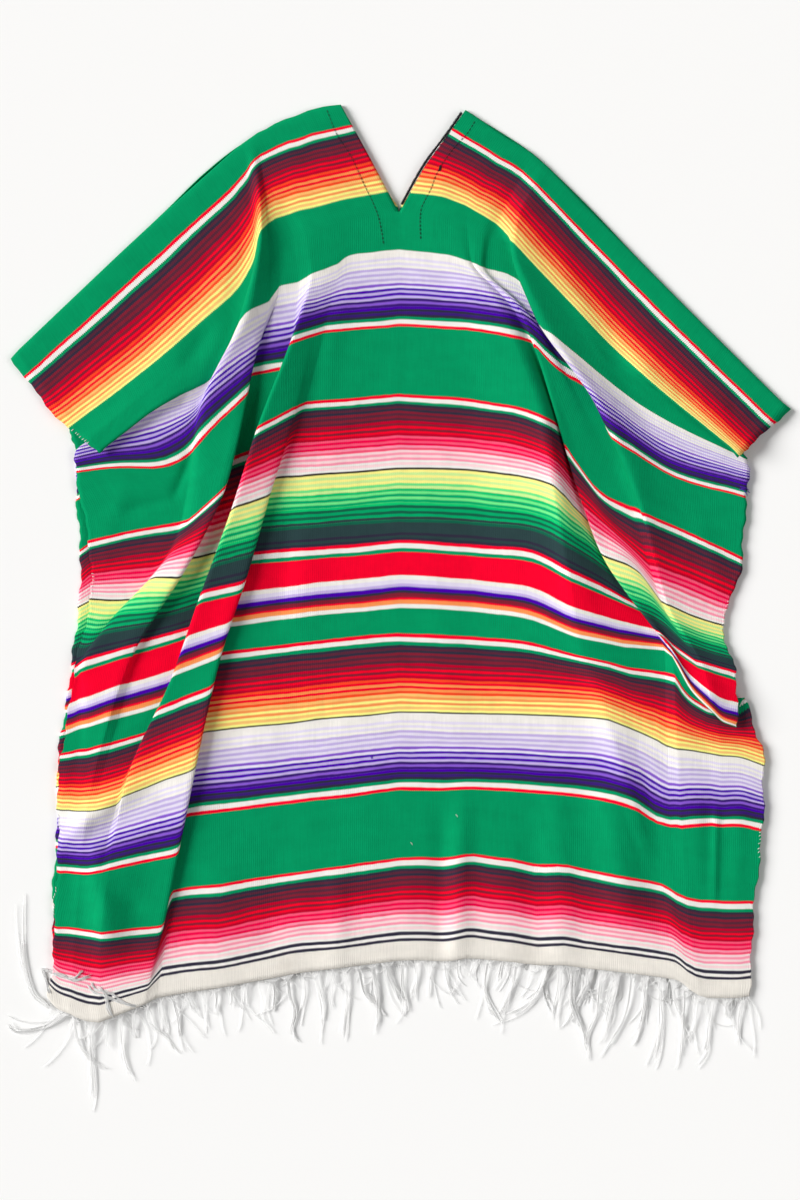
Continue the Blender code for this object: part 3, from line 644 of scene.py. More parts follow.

# %% [markdown]
# ## Creases
#
# Cloth that has been carried and laid down by hand is never smooth between its folds. Soft creases fan
# out from the shoulders and from where the cloth was pulled. Each is listed: where it starts and
# ends, how wide it is, how high it stands and how far it bows sideways. All layers of the cloth at one
# spot rise together, so no layer is pushed through another. The back has its own few creases, and the
# front lies over them.

# %% Creases, listed one by one
# Each row: start (across, down), end (across, down), half width, height, bow to one side
BACK_CREASES = (
    ((-60, 120), (-250, 420), 16, 1.6, 12),
    ((-190, 300), (-330, 760), 20, 1.3, -14),
    ((-40, 230), (-110, 700), 22, 1.0, 10),
    ((70, 150), (240, 430), 17, 1.5, -10),
    ((30, 420), (90, 860), 24, 1.1, 12),
    ((180, 380), (330, 820), 19, 1.4, 16),
    ((-250, 800), (-180, 980), 14, 1.2, 6),
    ((210, 840), (190, 985), 13, 1.0, -5),
    ((-20, 700), (-60, 960), 18, 0.9, -6),
)
FRONT_CREASES = (
    ((-60, 80), (-285, 1000), 24, 3.0, 0),
    ((104, 200), (296, 930), 22, 2.5, 4),
    ((-234, 396), (-262, 478), 6, -3.0, 4),
    ((-252, 466), (-326, 488), 8, -2.5, 4),
    ((-300, 840), (-345, 1030), 20, 6.0, 8),
    ((-3, 150), (-4, 560), 5, 0.7, 1),
    ((-4, 560), (-6, 860), 6, 0.5, -1),
    ((160, 320), (214, 680), 9, 7.5, 3),
    ((204, 600), (306, 940), 11, 4.5, 0),
    ((180, 370), (262, 590), 9, -2.8, 5),
    ((60, 190), (118, 330), 20, 1.4, -8),
    ((-50, 190), (-92, 400), 12, 1.5, 7),
    ((-96, 400), (-112, 640), 18, 1.6, 8),
    ((-150, 620), (-188, 880), 16, 1.4, -8),
    ((-40, 620), (-60, 800), 20, 0.9, 6),
    ((40, 560), (58, 760), 22, 0.8, -6),
    ((74, 780), (66, 1040), 10, 5.0, 2),
    ((48, 790), (46, 1040), 11, -3.0, 0),
    ((176, 770), (184, 1050), 11, 5.0, -3),
    ((152, 800), (156, 1040), 11, -2.5, 0),
    ((118, 840), (124, 1040), 12, 2.0, 0),
    ((236, 740), (262, 1000), 17, 6.0, 0),
    ((236, 790), (268, 980), 8, 3.5, 0),
    ((280, 760), (304, 990), 12, -3.0, 0),
    ((364, 800), (360, 960), 5, 2.6, 0),
    ((-70, 860), (-72, 1040), 12, 3.0, 2),
    ((-140, 840), (-150, 1040), 13, -2.4, 0),
    ((-196, 850), (-212, 1050), 12, 3.5, 3),
    ((-280, 786), (-402, 876), 13, 9.5, 6),
    ((-352, 840), (-336, 1000), 16, 10.0, 0),
    ((-352, 908), (-292, 940), 10, -4.0, 0),
    ((-212, 262), (-252, 326), 10, -3.5, 0),
    ((-232, 330), (-266, 364), 9, -3.0, 0),
    ((-146, 100), (-190, 300), 14, 5.0, -6),
    ((-128, 480), (-140, 640), 9, -2.5, 0),
    ((236, 520), (300, 610), 12, 4.0, -5),
    ((-330, 590), (-385, 700), 10, 3.0, 4),
    ((10, 880), (6, 980), 12, 1.0, 0),
    ((-300, 190), (-390, 330), 16, 1.3, 10),
    ((-250, 150), (-330, 250), 13, -0.9, 0),
    ((-230, 250), (-330, 370), 14, 1.7, -9),
    ((-180, 150), (-215, 300), 12, 1.6, 8),
    ((-350, 250), (-430, 320), 12, 1.0, 0),
    ((-300, 430), (-345, 560), 12, 1.3, 8),
    ((-262, 560), (-330, 640), 11, 1.8, 6),
    ((-330, 700), (-350, 860), 12, 1.3, -5),
    ((-385, 760), (-360, 900), 10, 1.2, 5),
    ((-300, 880), (-330, 1020), 11, 1.6, 5),
    ((210, 140), (330, 290), 15, 1.5, -12),
    ((180, 170), (250, 330), 12, 1.8, 8),
    ((300, 240), (400, 370), 13, 1.2, 7),
    ((330, 330), (420, 385), 11, -0.9, 0),
    ((262, 400), (300, 560), 18, 2.5, 8),
    ((330, 470), (370, 600), 12, 1.5, -7),
    ((345, 660), (398, 735), 9, 2.0, 4),
    ((360, 690), (410, 745), 6, -1.3, 0),
    ((340, 790), (352, 940), 12, 1.5, 5),
    ((388, 790), (382, 950), 10, 1.3, -4),
    ((235, 640), (258, 800), 14, 1.4, 6),
)
print("creases:", len(FRONT_CREASES), "on the front and", len(BACK_CREASES), "on the back")

# %% Pulls, listed one by one
# Where the cloth was drawn down or up in its own plane: place, size across and down, and shift in mm
PULLS = (
    ((-262, 420), (44, 40), (0, 14)),
    ((292, 826), (20, 45), (0, 11)),
    ((50, 930), (17, 90), (0, 3.5)),
    ((80, 930), (15, 90), (0, -3.0)),
    ((156, 930), (17, 90), (0, 3.5)),
    ((190, 930), (15, 90), (0, -3.0)),
    ((-205, 960), (22, 60), (0, 3.0)),
    ((-120, 960), (25, 60), (0, -3.0)),
    ((20, 560), (60, 40), (0, -2.5)),
    ((196, 470), (12, 80), (0, 4.0)),
    ((150, 560), (42, 80), (0, -10.0)),
    ((140, 365), (34, 45), (0, -5.0)),
    ((264, 740), (24, 110), (0, 5.0)),
)


def pulled(across, down):
    """How far a place on the table moves with the pulls. All layers at one spot move together."""
    shift = np.zeros((2, *across.shape))
    for place, size, way in PULLS:
        near = np.exp(-((across - place[0]) / size[0]) ** 2 - ((down - place[1]) / size[1]) ** 2)
        shift += near * np.array(way, float)[:, None, None]
    return shift


print("pulls:", len(PULLS))

# %% Height that the creases add
def crease_height(creases, across, down):
    """Height added by a table of creases, at places on the table given as arrays."""
    height = np.zeros_like(across)
    for start, end, half_width, rise, bow in creases:
        run = np.array(end, float) - start
        length = np.hypot(*run)
        ahead = run / length
        share = ((across - start[0]) * ahead[0] + (down - start[1]) * ahead[1]) / length
        inside = np.clip(share, 0.0, 1.0)
        beside = (across - start[0]) * -ahead[1] + (down - start[1]) * ahead[0]
        beside -= bow * np.sin(math.pi * inside)
        fade = smoothstep(share / 0.35) * smoothstep((1.0 - share) / 0.35)
        height += rise * fade * np.exp(-(beside / half_width) ** 2)
    return height


sample = crease_height(FRONT_CREASES, np.array([155.0]), np.array([470.0]))
print("the creases beside the middle add", round(float(sample[0]), 2), "mm")

# %% [markdown]
# ## The sheets
#
# The measured grid is coarse, so each half is resampled about every 6 mm on the same curves, and the
# two halves are joined below the slit. The mesh also carries a map of the flat blanket, in metres: how
# far each point is from the middle along the weft, and how far down the warp. The weave and the stripes
# are painted by that map, so they run over every fold as they do on the real cloth.

# %% Resampling the grid
FINENESS = 5.7                   # millimetres between the points of the finer grid


def finer(values, steps):
    """Resample a grid down its first axis, with a number of steps between one row and the next."""
    change = np.diff(values, axis=0)
    product = change[:-1] * change[1:]
    bends = product > 0.0
    inner = np.where(bends, 2.0 * product / np.where(bends, change[:-1] + change[1:], 1.0), 0.0)
    slope = np.concatenate((change[:1], inner, change[-1:]))
    rows = []
    for index, count in enumerate(steps):
        for part in range(count):
            s = part / count
            rows.append(values[index] + slope[index] * s
                        + (3 * change[index] - 2 * slope[index] - slope[index + 1]) * s ** 2
                        + (slope[index] + slope[index + 1] - 2 * change[index]) * s ** 3)
    rows.append(values[-1])
    return np.array(rows)


def steps_for(grid, axis, least):
    """How many steps each interval of the grid needs."""
    spans = np.linalg.norm(np.diff(grid[..., :3], axis=axis), axis=-1)
    typical = np.quantile(spans, 0.6, axis=1 - axis)
    return [max(least, int(round(span / FINENESS))) for span in typical]


def fine_halves(halves, least):
    """Both halves on the finer grid, with one middle line below the slit."""
    row_steps = steps_for(np.concatenate([halves[-1], halves[1]]), 1, least)
    fine = {}
    for side in (-1, 1):
        wide = finer(halves[side], steps_for(halves[side], 0, least))
        fine[side] = finer(wide.swapaxes(0, 1), row_steps).swapaxes(0, 1)
    joined = fine[1][0, :, 3] > SLIT - 0.01
    middle = (fine[-1][0, joined] + fine[1][0, joined]) / 2.0
    fine[-1][0, joined] = middle
    fine[1][0, joined] = middle
    return fine


FRONT_FINE = fine_halves(FRONT, 2)
BACK_FINE = fine_halves(BACK, 1)
print("finer grids:", FRONT_FINE[-1].shape, FRONT_FINE[1].shape, BACK_FINE[-1].shape, BACK_FINE[1].shape)

# %% Raising the creases
def weft_place(half, side):
    """Distance from the middle along the weft, for every point of one half."""
    spans = np.linalg.norm(np.diff(half[..., :3], axis=0), axis=-1)
    return side * np.concatenate((np.zeros((1, half.shape[1])), np.cumsum(spans, axis=0)))


FOLD_FOOT = 6.0                  # the front's folds rise above this height
FOLD_LOFT = 0.6                  # by this share more than in the solids, because wool is springy
CREASED_FROM = 60.0              # the front's own creases are full this far below the shoulder
WAVERING = 14.0                  # the strip beside a selvedge that wavers with it
for side in (-1, 1):
    for fine, creases in ((FRONT_FINE, FRONT_CREASES), (BACK_FINE, ())):
        half = fine[side]
        above = np.maximum(half[..., 2] - FOLD_FOOT, 0.0)
        half[..., 2] += FOLD_LOFT * above * above / (above + 2.0)
        across, down, cloth = half[..., 0], half[..., 1], half[..., 3]
        out = weft_place(half, side)
        own = crease_height(creases, across, down) * smoothstep(cloth / CREASED_FROM)
        half[..., 2] += own + crease_height(BACK_CREASES, across, down)
        if creases:
            half[..., :2] += np.moveaxis(pulled(across.copy(), down.copy()), 0, -1)
        # No woven selvedge is straight: it wavers in short, middling and long waves
        ripple = (0.8 * np.sin(cloth / 3.4 + side) + 1.3 * np.sin(cloth / 11.0)
                  + 1.6 * np.sin(cloth / 31.0 + side))
        half[..., 0] += side * ripple * smoothstep((np.abs(out) - np.abs(out[-1]) + WAVERING) / WAVERING)
        fine[side] = np.concatenate((half, out[..., None]), axis=-1)
print("weft from the middle to the selvedges at the hem:",
      [round(float(FRONT_FINE[side][-1, -1, 4])) for side in (-1, 1)], "mm")

# %% Making a sheet of cloth
def to_world(points):
    """Turn places on the table, in millimetres from the neck, into metres about the middle."""
    points = np.asarray(points, float)
    return np.stack((points[..., 0] - MIDDLE[0], MIDDLE[1] - points[..., 1], points[..., 2]), axis=-1) * MM


def joined_grid(fine):
    """The two halves side by side, left selvedge first. The middle line is there twice."""
    return np.concatenate((fine[-1][::-1], fine[1]))


def cloth_sheet(name, fine, finish, first):
    """A wall of cloth on a fine grid, with its map of the flat blanket from its first place to its hem."""
    grid = joined_grid(fine)
    left = fine[-1].shape[0]
    columns, rows = grid.shape[:2]
    number = np.arange(columns * rows).reshape(columns, rows)
    joined = grid[left - 1, :, 3] > SLIT - 0.01
    number[left, joined] = number[left - 1, joined]
    keep = [c for c in range(columns - 1) if c != left - 1]
    faces = np.array([(number[c, r], number[c, r + 1], number[c + 1, r + 1], number[c + 1, r])
                      for c in keep for r in range(rows - 1)])
    used, faces = np.unique(faces, return_inverse=True)
    faces = faces.reshape(-1, 4)
    flat = grid.reshape(-1, grid.shape[-1])[used]
    data = bpy.data.meshes.new(name)
    data.from_pydata(to_world(flat).tolist(), [], faces.tolist())
    blanket_map = data.uv_layers.new(name="Blanket map")
    mapped = first + (CLOTH - first) * flat[:, 3] / flat[:, 3].max()
    places = np.stack((flat[:, 4], mapped), axis=1)[faces.ravel()] * MM
    blanket_map.data.foreach_set("uv", places.astype(np.float32).ravel())
    data.materials.append(finish)
    data.shade_smooth()
    thing = add_object(name, data)
    wall = thing.modifiers.new("Wall", "SOLIDIFY")
    wall.thickness = WALL * MM
    wall.offset = 0.0
    print(name, "has", len(data.polygons), "faces on one side")
    return thing


print("the finer grid has a point about every", FINENESS, "mm")

# %% [markdown]
# ## Handwoven wool
#
# A serape is a tapestry weave: thin warp threads run down it, and soft wool weft is beaten down so hard
# that it hides them. So the colours run across the cloth, each line has a slightly beaded edge where it
# goes over and under the warp, and the surface is dull with fine ribs down it. The shaded bands are
# woven by turns, one line of each of two yarns, and the yarns change step by step.
#
# A picture isn't needed for that. The finish reads the map of the flat blanket and looks up the yarn in
# a weaver's chart, which lists the yarns by name and where each stripe starts.

# %% The yarns
YARNS = {
    "green": "#00945f", "red": "#f8042e", "white": "#f1ede9", "cream": "#ece7df", "black": "#242627",
    "navy": "#302e3f", "plum": "#57293a", "maroon": "#822737", "crimson": "#c01c34",
    "scarlet": "#f50a2c", "coral": "#f9553c", "orange": "#f99a5d", "apricot": "#fbc87a",
    "yellow": "#fcf392", "pale_lilac": "#e4ddf0", "lilac": "#c3b2e4", "violet": "#8a5fcf",
    "purple": "#4a10aa", "indigo": "#3b2272", "rose_red": "#f1194d", "rose": "#f7607f",
    "pink": "#fb9ab0", "pale_pink": "#fbd9dc", "lime": "#cdee9c", "spring": "#74e38d",
    "bright_green": "#24c272", "leaf": "#05a667", "pine": "#196049", "slate": "#2c4143",
}
print("yarns in the blanket:", len(YARNS))

# %% The shaded bands, charted line by line
# Each band alternates two lines: this one and the next, from the shoulder down.
BANDS = {
    "sunset": (("navy", "plum"), ("navy", "maroon"), ("plum", "maroon"), ("plum", "crimson"),
               ("maroon", "scarlet"), ("maroon", "scarlet"), ("crimson", "coral"), ("scarlet", "orange"),
               ("scarlet", "orange"), ("coral", "apricot"), ("orange", "yellow"), ("orange", "yellow"),
               ("apricot", "yellow")),
    "dusk": (("white", "white"), ("white", "pale_lilac"), ("white", "pale_lilac"), ("white", "lilac"),
             ("pale_lilac", "lilac"), ("pale_lilac", "lilac"), ("pale_lilac", "violet"),
             ("pale_lilac", "purple"), ("lilac", "purple"), ("lilac", "indigo"), ("violet", "indigo"),
             ("purple", "navy"), ("indigo", "navy")),
    "rose": (("navy", "plum"), ("navy", "maroon"), ("plum", "maroon"), ("plum", "crimson"),
             ("maroon", "scarlet"), ("maroon", "scarlet"), ("crimson", "rose"), ("rose_red", "rose"),
             ("rose_red", "pink"), ("rose", "pale_pink"), ("pink", "pale_pink"), ("pink", "white"),
             ("pale_pink", "white")),
    "meadow": (("yellow", "lime"), ("yellow", "lime"), ("yellow", "spring"), ("lime", "bright_green"),
               ("spring", "leaf"), ("spring", "leaf"), ("bright_green", "pine"), ("leaf", "pine"),
               ("leaf", "slate"), ("pine", "slate"), ("slate", "slate"), ("slate", "navy"),
               ("slate", "navy")),
}
print("lines in a shaded band:", 2 * len(BANDS["sunset"]))

# %% The stripes, from the shoulder to the hem
# Each row: yarn or shaded band, and where it starts down the cloth in millimetres
STRIPES = (
    ("green", 0.0), ("red", 27.6), ("white", 31.0), ("green", 36.2), ("sunset", 39.7), ("green", 115.0),
    ("dusk", 182.3), ("green", 258.8), ("white", 262.2), ("red", 267.4), ("green", 270.3),
    ("red", 347.9), ("white", 351.3), ("green", 355.9), ("rose", 359.4), ("black", 432.4),
    ("meadow", 434.7), ("red", 517.5), ("white", 521.0), ("green", 526.7), ("red", 530.7),
    ("white", 558.9), ("pale_lilac", 563.5), ("lilac", 568.1), ("purple", 571.6), ("navy", 575.6),
    ("maroon", 578.5), ("red", 583.1), ("orange", 585.4), ("white", 590.0), ("green", 594.6),
    ("red", 623.3), ("white", 627.3), ("green", 632.5), ("sunset", 637.1), ("black", 713.0),
    ("dusk", 714.7), ("green", 791.8), ("white", 795.2), ("red", 800.4), ("green", 803.9),
    ("red", 881.5), ("white", 884.9), ("green", 890.7), ("rose", 894.7), ("navy", 966.6),
    ("white", 970.6), ("navy", 974.1), ("cream", 977.5),
)
CLOTH = 1000.0                   # from the shoulder to the front hem
print("stripes and bands:", len(STRIPES))

# %% Looking a yarn up
def yarn_ramp(tree, factor, stops):
    """A colour for each part of 0 to 1, with hard edges as between two yarns."""
    ramp = add_node(tree, "ValToRGB", None, factor)
    ramp.color_ramp.interpolation = "CONSTANT"
    elements = ramp.color_ramp.elements
    elements.remove(elements[-1])
    elements[0].position = stops[0][0]
    elements[0].color = linear(YARNS[stops[0][1]])
    for position, yarn in stops[1:]:
        elements.new(position).color = linear(YARNS[yarn])
    return ramp.outputs["Color"]


def plain_runs():
    """The runs of plain stripes between the shaded bands, each with its end."""
    runs = [[]]
    for (yarn, start), (_, end) in zip(STRIPES, STRIPES[1:] + (("", CLOTH),)):
        if yarn in BANDS:
            runs.append([])
        else:
            runs[-1].append((yarn, start, end))
    return [(run[0][1], run[-1][2], [(yarn, start) for yarn, start, _ in run]) for run in runs if run]


def plain_stripes(tree, cloth):
    """The plain stripes. Each run has its own ramp, because one ramp is only 256 steps fine."""
    colour = linear(YARNS["green"])
    for first, last, run in plain_runs():
        along = add_node(tree, "Math", DIVIDE, add_node(tree, "Math", SUBTRACT, cloth, first), last - first)
        stripes = yarn_ramp(tree, along, [((start - first) / (last - first), yarn) for yarn, start in run])
        reached = add_node(tree, "Math", GREATER_THAN, cloth, first)
        colour = add_node(tree, "Mix", COLOURS, reached, in_6=colour, in_7=stripes).outputs[2]
    return colour


def shaded_band(tree, cloth, under, band):
    """Lay one kind of shaded band over the colours so far, wherever the stripes list it."""
    chart = BANDS[band]
    place, inside = 0.0, 0.0
    for (name, start), (_, end) in zip(STRIPES, STRIPES[1:]):
        if name != band:
            continue
        share = add_node(tree, "Math", DIVIDE, add_node(tree, "Math", SUBTRACT, cloth, start), end - start)
        begun = add_node(tree, "Math", GREATER_THAN, share, 0.0)
        here = add_node(tree, "Math", MULTIPLY, begun, add_node(tree, "Math", LESS_THAN, share, 1.0))
        place = add_node(tree, "Math", MULTIPLY_ADD, share, here, place)
        inside = add_node(tree, "Math", ADD, inside, here)
    first = yarn_ramp(tree, place, [(i / len(chart), pair[0]) for i, pair in enumerate(chart)])
    second = yarn_ramp(tree, place, [(i / len(chart), pair[1]) for i, pair in enumerate(chart)])
    turn = add_node(tree, "Math", FRACT, add_node(tree, "Math", MULTIPLY, place, float(len(chart))))
    second_line = add_node(tree, "Math", GREATER_THAN, turn, 0.5)
    lines = add_node(tree, "Mix", COLOURS, second_line, in_6=first, in_7=second).outputs[2]
    return add_node(tree, "Mix", COLOURS, inside, in_6=under, in_7=lines).outputs[2]


print("runs of plain stripes end at:", [last for _, last, _ in plain_runs()], "mm")

# %% The finish of the cloth
WARP_SPACING = 2.3               # a little coarser than the real 1.6 mm, or the ribs wouldn't show
PICK_SPACING = 1.5               # between lines of weft
# Faint stains, then (last two rows) two patches of painted crease shade in the cream hem band: place on the
# flat blanket (out, down), size in millimetres, strength
STAINS_AND_PAINTED_HEM_SHADE = ((-214.0, 640.0, 7.0, 0.30), (-285.0, 905.0, 6.0, 0.30), (-132.0, 989.0, 20.0, 0.16),
          (150.0, 990.0, 30.0, 0.08))


def woven_wool(name):
    """Dull beaten wool: lines of weft in the charted colours over fine ribs of warp."""
    finish, tree, shader = new_finish(name)
    flat = add_node(tree, "UVMap", {"uv_map": "Blanket map"})
    parts = add_node(tree, "SeparateXYZ", None, flat)
    out = add_node(tree, "Math", MULTIPLY, parts.outputs["X"], 1000.0)
    down = add_node(tree, "Math", MULTIPLY, parts.outputs["Y"], 1000.0)

    def cloth_noise(across_size, down_size, detail=1.0):
        """Noise whose grains are so many millimetres across and down the cloth."""
        spot = add_node(tree, "CombineXYZ", None, add_node(tree, "Math", DIVIDE, out, across_size),
                        add_node(tree, "Math", DIVIDE, down, down_size))
        return add_node(tree, "TexNoise", Vector=spot, Scale=1.0, Detail=detail)

    # The weaver beats each line by hand, so it wanders, and it is beaded where it crosses the warp
    wander = add_node(tree, "Math", MULTIPLY_ADD, cloth_noise(70.0, 30.0), 3.2, -1.6)
    beaten = add_node(tree, "Math", MULTIPLY_ADD, cloth_noise(9.0, 5.0), 1.1, -0.55)
    rib = add_node(tree, "Math", SINE, add_node(tree, "Math", MULTIPLY, out, 2.0 * math.pi / WARP_SPACING))
    beads = add_node(tree, "Math", MULTIPLY, rib, 0.55)
    straight = add_node(tree, "Math", ADD, down, wander)
    line = add_node(tree, "Math", ADD, straight, add_node(tree, "Math", ADD, beaten, beads))
    colour = plain_stripes(tree, line)
    for band in BANDS:
        colour = shaded_band(tree, line, colour, band)

    # Wool takes dye unevenly, and is thinner over some warps
    streaks = add_node(tree, "Math", MULTIPLY_ADD, cloth_noise(1.9, 34.0, 2.0), 0.22, 0.89)
    patches = add_node(tree, "Math", MULTIPLY_ADD, cloth_noise(26.0, 15.0, 2.0), 0.22, 0.89)
    shade = add_node(tree, "Math", MULTIPLY, streaks, patches)
    colour = add_node(tree, "HueSaturation", Value=shade, Saturation=1.03, Color=colour)

    # A stain, or a patch of painted crease shade, is strongest at its middle and has an uneven rim
    rim = add_node(tree, "Math", MULTIPLY_ADD, cloth_noise(5.0, 4.0, 2.0), 0.012, -0.006)
    for across, along, size, strength in STAINS_AND_PAINTED_HEM_SHADE:
        middle = (across * MM, along * MM, 0.0)
        away = add_node(tree, "VectorMath", {"operation": "DISTANCE"}, flat, middle).outputs["Value"]
        uneven = add_node(tree, "Math", ADD, away, rim)
        share = add_node(tree, "MapRange", None, uneven, 0.0, size * MM, strength, 0.0)
        colour = add_node(tree, "Mix", COLOURS, share, in_6=colour, in_7=linear("#6b5232")).outputs[2]

    # Ribs of warp under lines of weft
    pick = add_node(tree, "Math", SINE, add_node(tree, "Math", MULTIPLY, line, 2.0 * math.pi / PICK_SPACING))
    crossing = add_node(tree, "Math", MULTIPLY, rib, pick)
    weave = add_node(tree, "Math", MULTIPLY_ADD, crossing, 0.5, beads)
    fuzz = add_node(tree, "Math", MULTIPLY_ADD, cloth_noise(1.2, 1.2, 2.0), 1.5, weave)
    bump = add_node(tree, "Bump", Strength=0.55, Distance=0.00035, Height=fuzz)
    roughness = add_node(tree, "Math", MULTIPLY_ADD, cloth_noise(6.0, 6.0), 0.14, 0.83)
    tree.links.new(colour, shader.inputs["Base Color"])
    tree.links.new(roughness.outputs[0], shader.inputs["Roughness"])
    tree.links.new(bump.outputs[0], shader.inputs["Normal"])
    shader.inputs["IOR"].default_value = 1.5
    shader.inputs["Specular IOR Level"].default_value = 0.06
    return finish


striped_wool = woven_wool("Handwoven wool, striped")
print("nodes in the finish:", len(striped_wool.node_tree.nodes))

# %% [markdown]
# ## Front and back
#
# The two halves of the blanket, each a wall of cloth that stands for its solid. The fold at the
# shoulders isn't in the middle of its green band, so the back starts with more of the green.

# %% Joining the frame
def join_frame(piece, node=None):
    """A piece lies still with the poncho and has its slot. It may stand for one of the solids."""
    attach(piece, "root")
    if node:
        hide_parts(node)


print("the frame's nodes:", ", ".join(sorted(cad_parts)))

# %% Front and back of the blanket
MORE_GREEN = 22.4                # the back starts with this much more green, in millimetres
front_cloth = cloth_sheet("front_cloth", FRONT_FINE, striped_wool, 0.0)
back_cloth = cloth_sheet("back_cloth", BACK_FINE, striped_wool, -MORE_GREEN)
join_frame(front_cloth, "front_panel")
join_frame(back_cloth, "back_panel")

# %% [markdown]
# ## Fringe
#
# The warp threads are left at both hems, up to 11 cm long in front and 7 cm behind, and hang together
# in soft locks, because wool clings. Hair particles would be lost in the exported model, so each yarn is
# a thin tube of its own. A lock is a handful of yarns that leave the hem side by side, draw together and
# part again at the tips.

# %% Where the locks start
STRIP = 5.0                      # the locks draw together this far below the hem
LOCK_SEGMENTS = 5                # steps down the middle line of a lock
SHORT_LOCK = 0.74                # every other lock has only this share of the length
FRONT_FRINGE_LEVEL = 2.2         # heights that the locks sink to, in millimetres
BACK_FRINGE_LEVEL = 1.0
# Each row: place across the table, counted from the neck, and the length of the locks there
FRONT_LENGTHS = ((-410, 75), (-370, 104), (-310, 70), (-200, 62), (-60, 84), (60, 66), (180, 92),
                 (270, 112), (330, 96), (400, 62))
BACK_LENGTHS = ((-400, 62), (-200, 50), (0, 56), (200, 66), (400, 50))
FRONT_LOCKS = 50
BACK_LOCKS = 30
# Two long locks at the left end curl out beside the cloth: places they pass
CURLS = (((-421, 1040), (-436, 980), (-439, 912)), ((-413, 1078), (-440, 1082), (-461, 1058)))


class Hem:
    """The edge of one hem from left to right, measured along itself."""

    def __init__(self, fine):
        grid = joined_grid(fine)
        left = fine[-1].shape[0]
        keep = [c for c in range(len(grid)) if c != left]
        self.path = [Vector(grid[c, -1, :3]) for c in keep]
        self.distances = [0.0]
        for before, after in zip(self.path, self.path[1:]):
            self.distances.append(self.distances[-1] + (after - before).length)
        self.length = self.distances[-1]

    def point(self, at):
        """Point of the hem at a distance along it."""
        at = min(self.length, max(0.0, at))
        index = min(int(np.searchsorted(self.distances, at, side="right")) - 1, len(self.path) - 2)
        share = (at - self.distances[index]) / (self.distances[index + 1] - self.distances[index])
        return self.path[index].lerp(self.path[index + 1], share)

    def way_out(self, at, window):
        """Direction on the table that leads away from the hem, levelled out over a window along it."""
        along = self.point(at + window) - self.point(at - window)
        return Vector((-along.y, along.x, 0.0)).normalized()


FRONT_HEM, BACK_HEM = Hem(FRONT_FINE), Hem(BACK_FINE)
print("hems:", round(FRONT_HEM.length), "and", round(BACK_HEM.length), "mm long")

# %% The middle line of a lock
def lock_points(root, way, length, level):
    """Middle line of one lock: it waves a little and sinks to its level."""
    # Swing and curl change slowly along the hem, so neighbouring locks lie alike
    swing = 0.26 * math.sin(root.x / 52.0 + 1.6) + 0.10 * math.sin(root.x / 23.0 + 1.0)
    curl = 0.40 * math.sin(root.x / 67.0 + 0.4)
    points = [root]
    heading = math.atan2(way.y, way.x)
    step = length / LOCK_SEGMENTS
    for segment in range(1, LOCK_SEGMENTS + 1):
        share = segment / LOCK_SEGMENTS
        turned = heading - swing * smoothstep(share * 2.0) - curl * (share - 0.4)
        place = points[-1].xy + Vector((math.cos(turned), math.sin(turned))) * step
        height = root.z + (level - root.z) * smoothstep(share * 1.6)
        points.append(Vector((place.x, place.y, height)))
    return points


def curl_points(root, places, level):
    """Middle line of a long lock that curls past the given places."""
    places = (root.xy,) + places
    points = [root]
    for segment in range(1, 2 * LOCK_SEGMENTS + 1):
        share = segment / (2 * LOCK_SEGMENTS)
        place = curve_place(even_knots(len(places)), places, share)
        points.append(Vector((*place, root.z + (level - root.z) * smoothstep(share * 2.5))))
    return points


def lock_lines(hem, locks, lengths, level, curls):
    """(place along the hem, middle line) of every lock."""
    spacing = hem.length / locks
    knots, values = [row[0] for row in lengths], [row[1] for row in lengths]
    lines = []
    for number in range(locks):
        centre = spacing * (number + 0.5)
        root = hem.point(centre) + hem.way_out(centre, 12.0) * (SEAM_GAP + STRIP)
        length = curve_at(knots, values, root.x) * (1.0 if number % 2 else SHORT_LOCK)
        if number < len(curls):
            lines.append((centre, curl_points(root, curls[number], level)))
        else:
            lines.append((centre, lock_points(root, hem.way_out(centre, 110.0), length, level)))
    return lines


FRONT_LOCK_LINES = lock_lines(FRONT_HEM, FRONT_LOCKS, FRONT_LENGTHS, FRONT_FRINGE_LEVEL, CURLS)
BACK_LOCK_LINES = lock_lines(BACK_HEM, BACK_LOCKS, BACK_LENGTHS, BACK_FRINGE_LEVEL, ())
print("locks:", len(FRONT_LOCK_LINES), "in front and", len(BACK_LOCK_LINES), "behind")

# %% Thin tubes for yarn and thread
def through(points, count):
    """Points spaced evenly by number along a smooth curve through a few."""
    knots = list(range(len(points)))
    spots = np.linspace(0.0, knots[-1], count)
    return np.array([curve_place(knots, points, at) for at in spots])


def tube(points, radius, sides, taper=0.6):
    """Vertices, faces and map of a thin tube along points in millimetres. Its tip narrows."""
    points = np.asarray(points, float)
    ahead = np.gradient(points, axis=0)
    ahead /= np.linalg.norm(ahead, axis=1)[:, None] + 1e-9
    beside = np.stack((-ahead[:, 1], ahead[:, 0], np.zeros(len(points))), axis=1)
    beside /= np.linalg.norm(beside, axis=1)[:, None] + 1e-9
    over = np.cross(ahead, beside)
    rows, count = [], len(points)
    lengths = np.concatenate(([0.0], np.cumsum(np.linalg.norm(np.diff(points, axis=0), axis=1))))
    widths = radius * np.where(np.arange(count) == count - 1, taper, 1.0)
    for side in range(sides):
        angle = 2.0 * math.pi * side / sides
        rows.append(points + (beside * math.cos(angle) + over * math.sin(angle)) * widths[:, None])
    vertices = np.stack(rows, axis=1).reshape(-1, 3)
    faces = []
    for near in range(0, (count - 1) * sides, sides):
        far = near + sides
        faces += [(near + s, near + (s + 1) % sides, far + (s + 1) % sides, far + s) for s in range(sides)]
    faces += [tuple(range(sides))[::-1], tuple((count - 1) * sides + s for s in range(sides))]
    twist = [(s / sides, lengths[r] * MM) for r in range(count) for s in range(sides)]
    return vertices, faces, twist


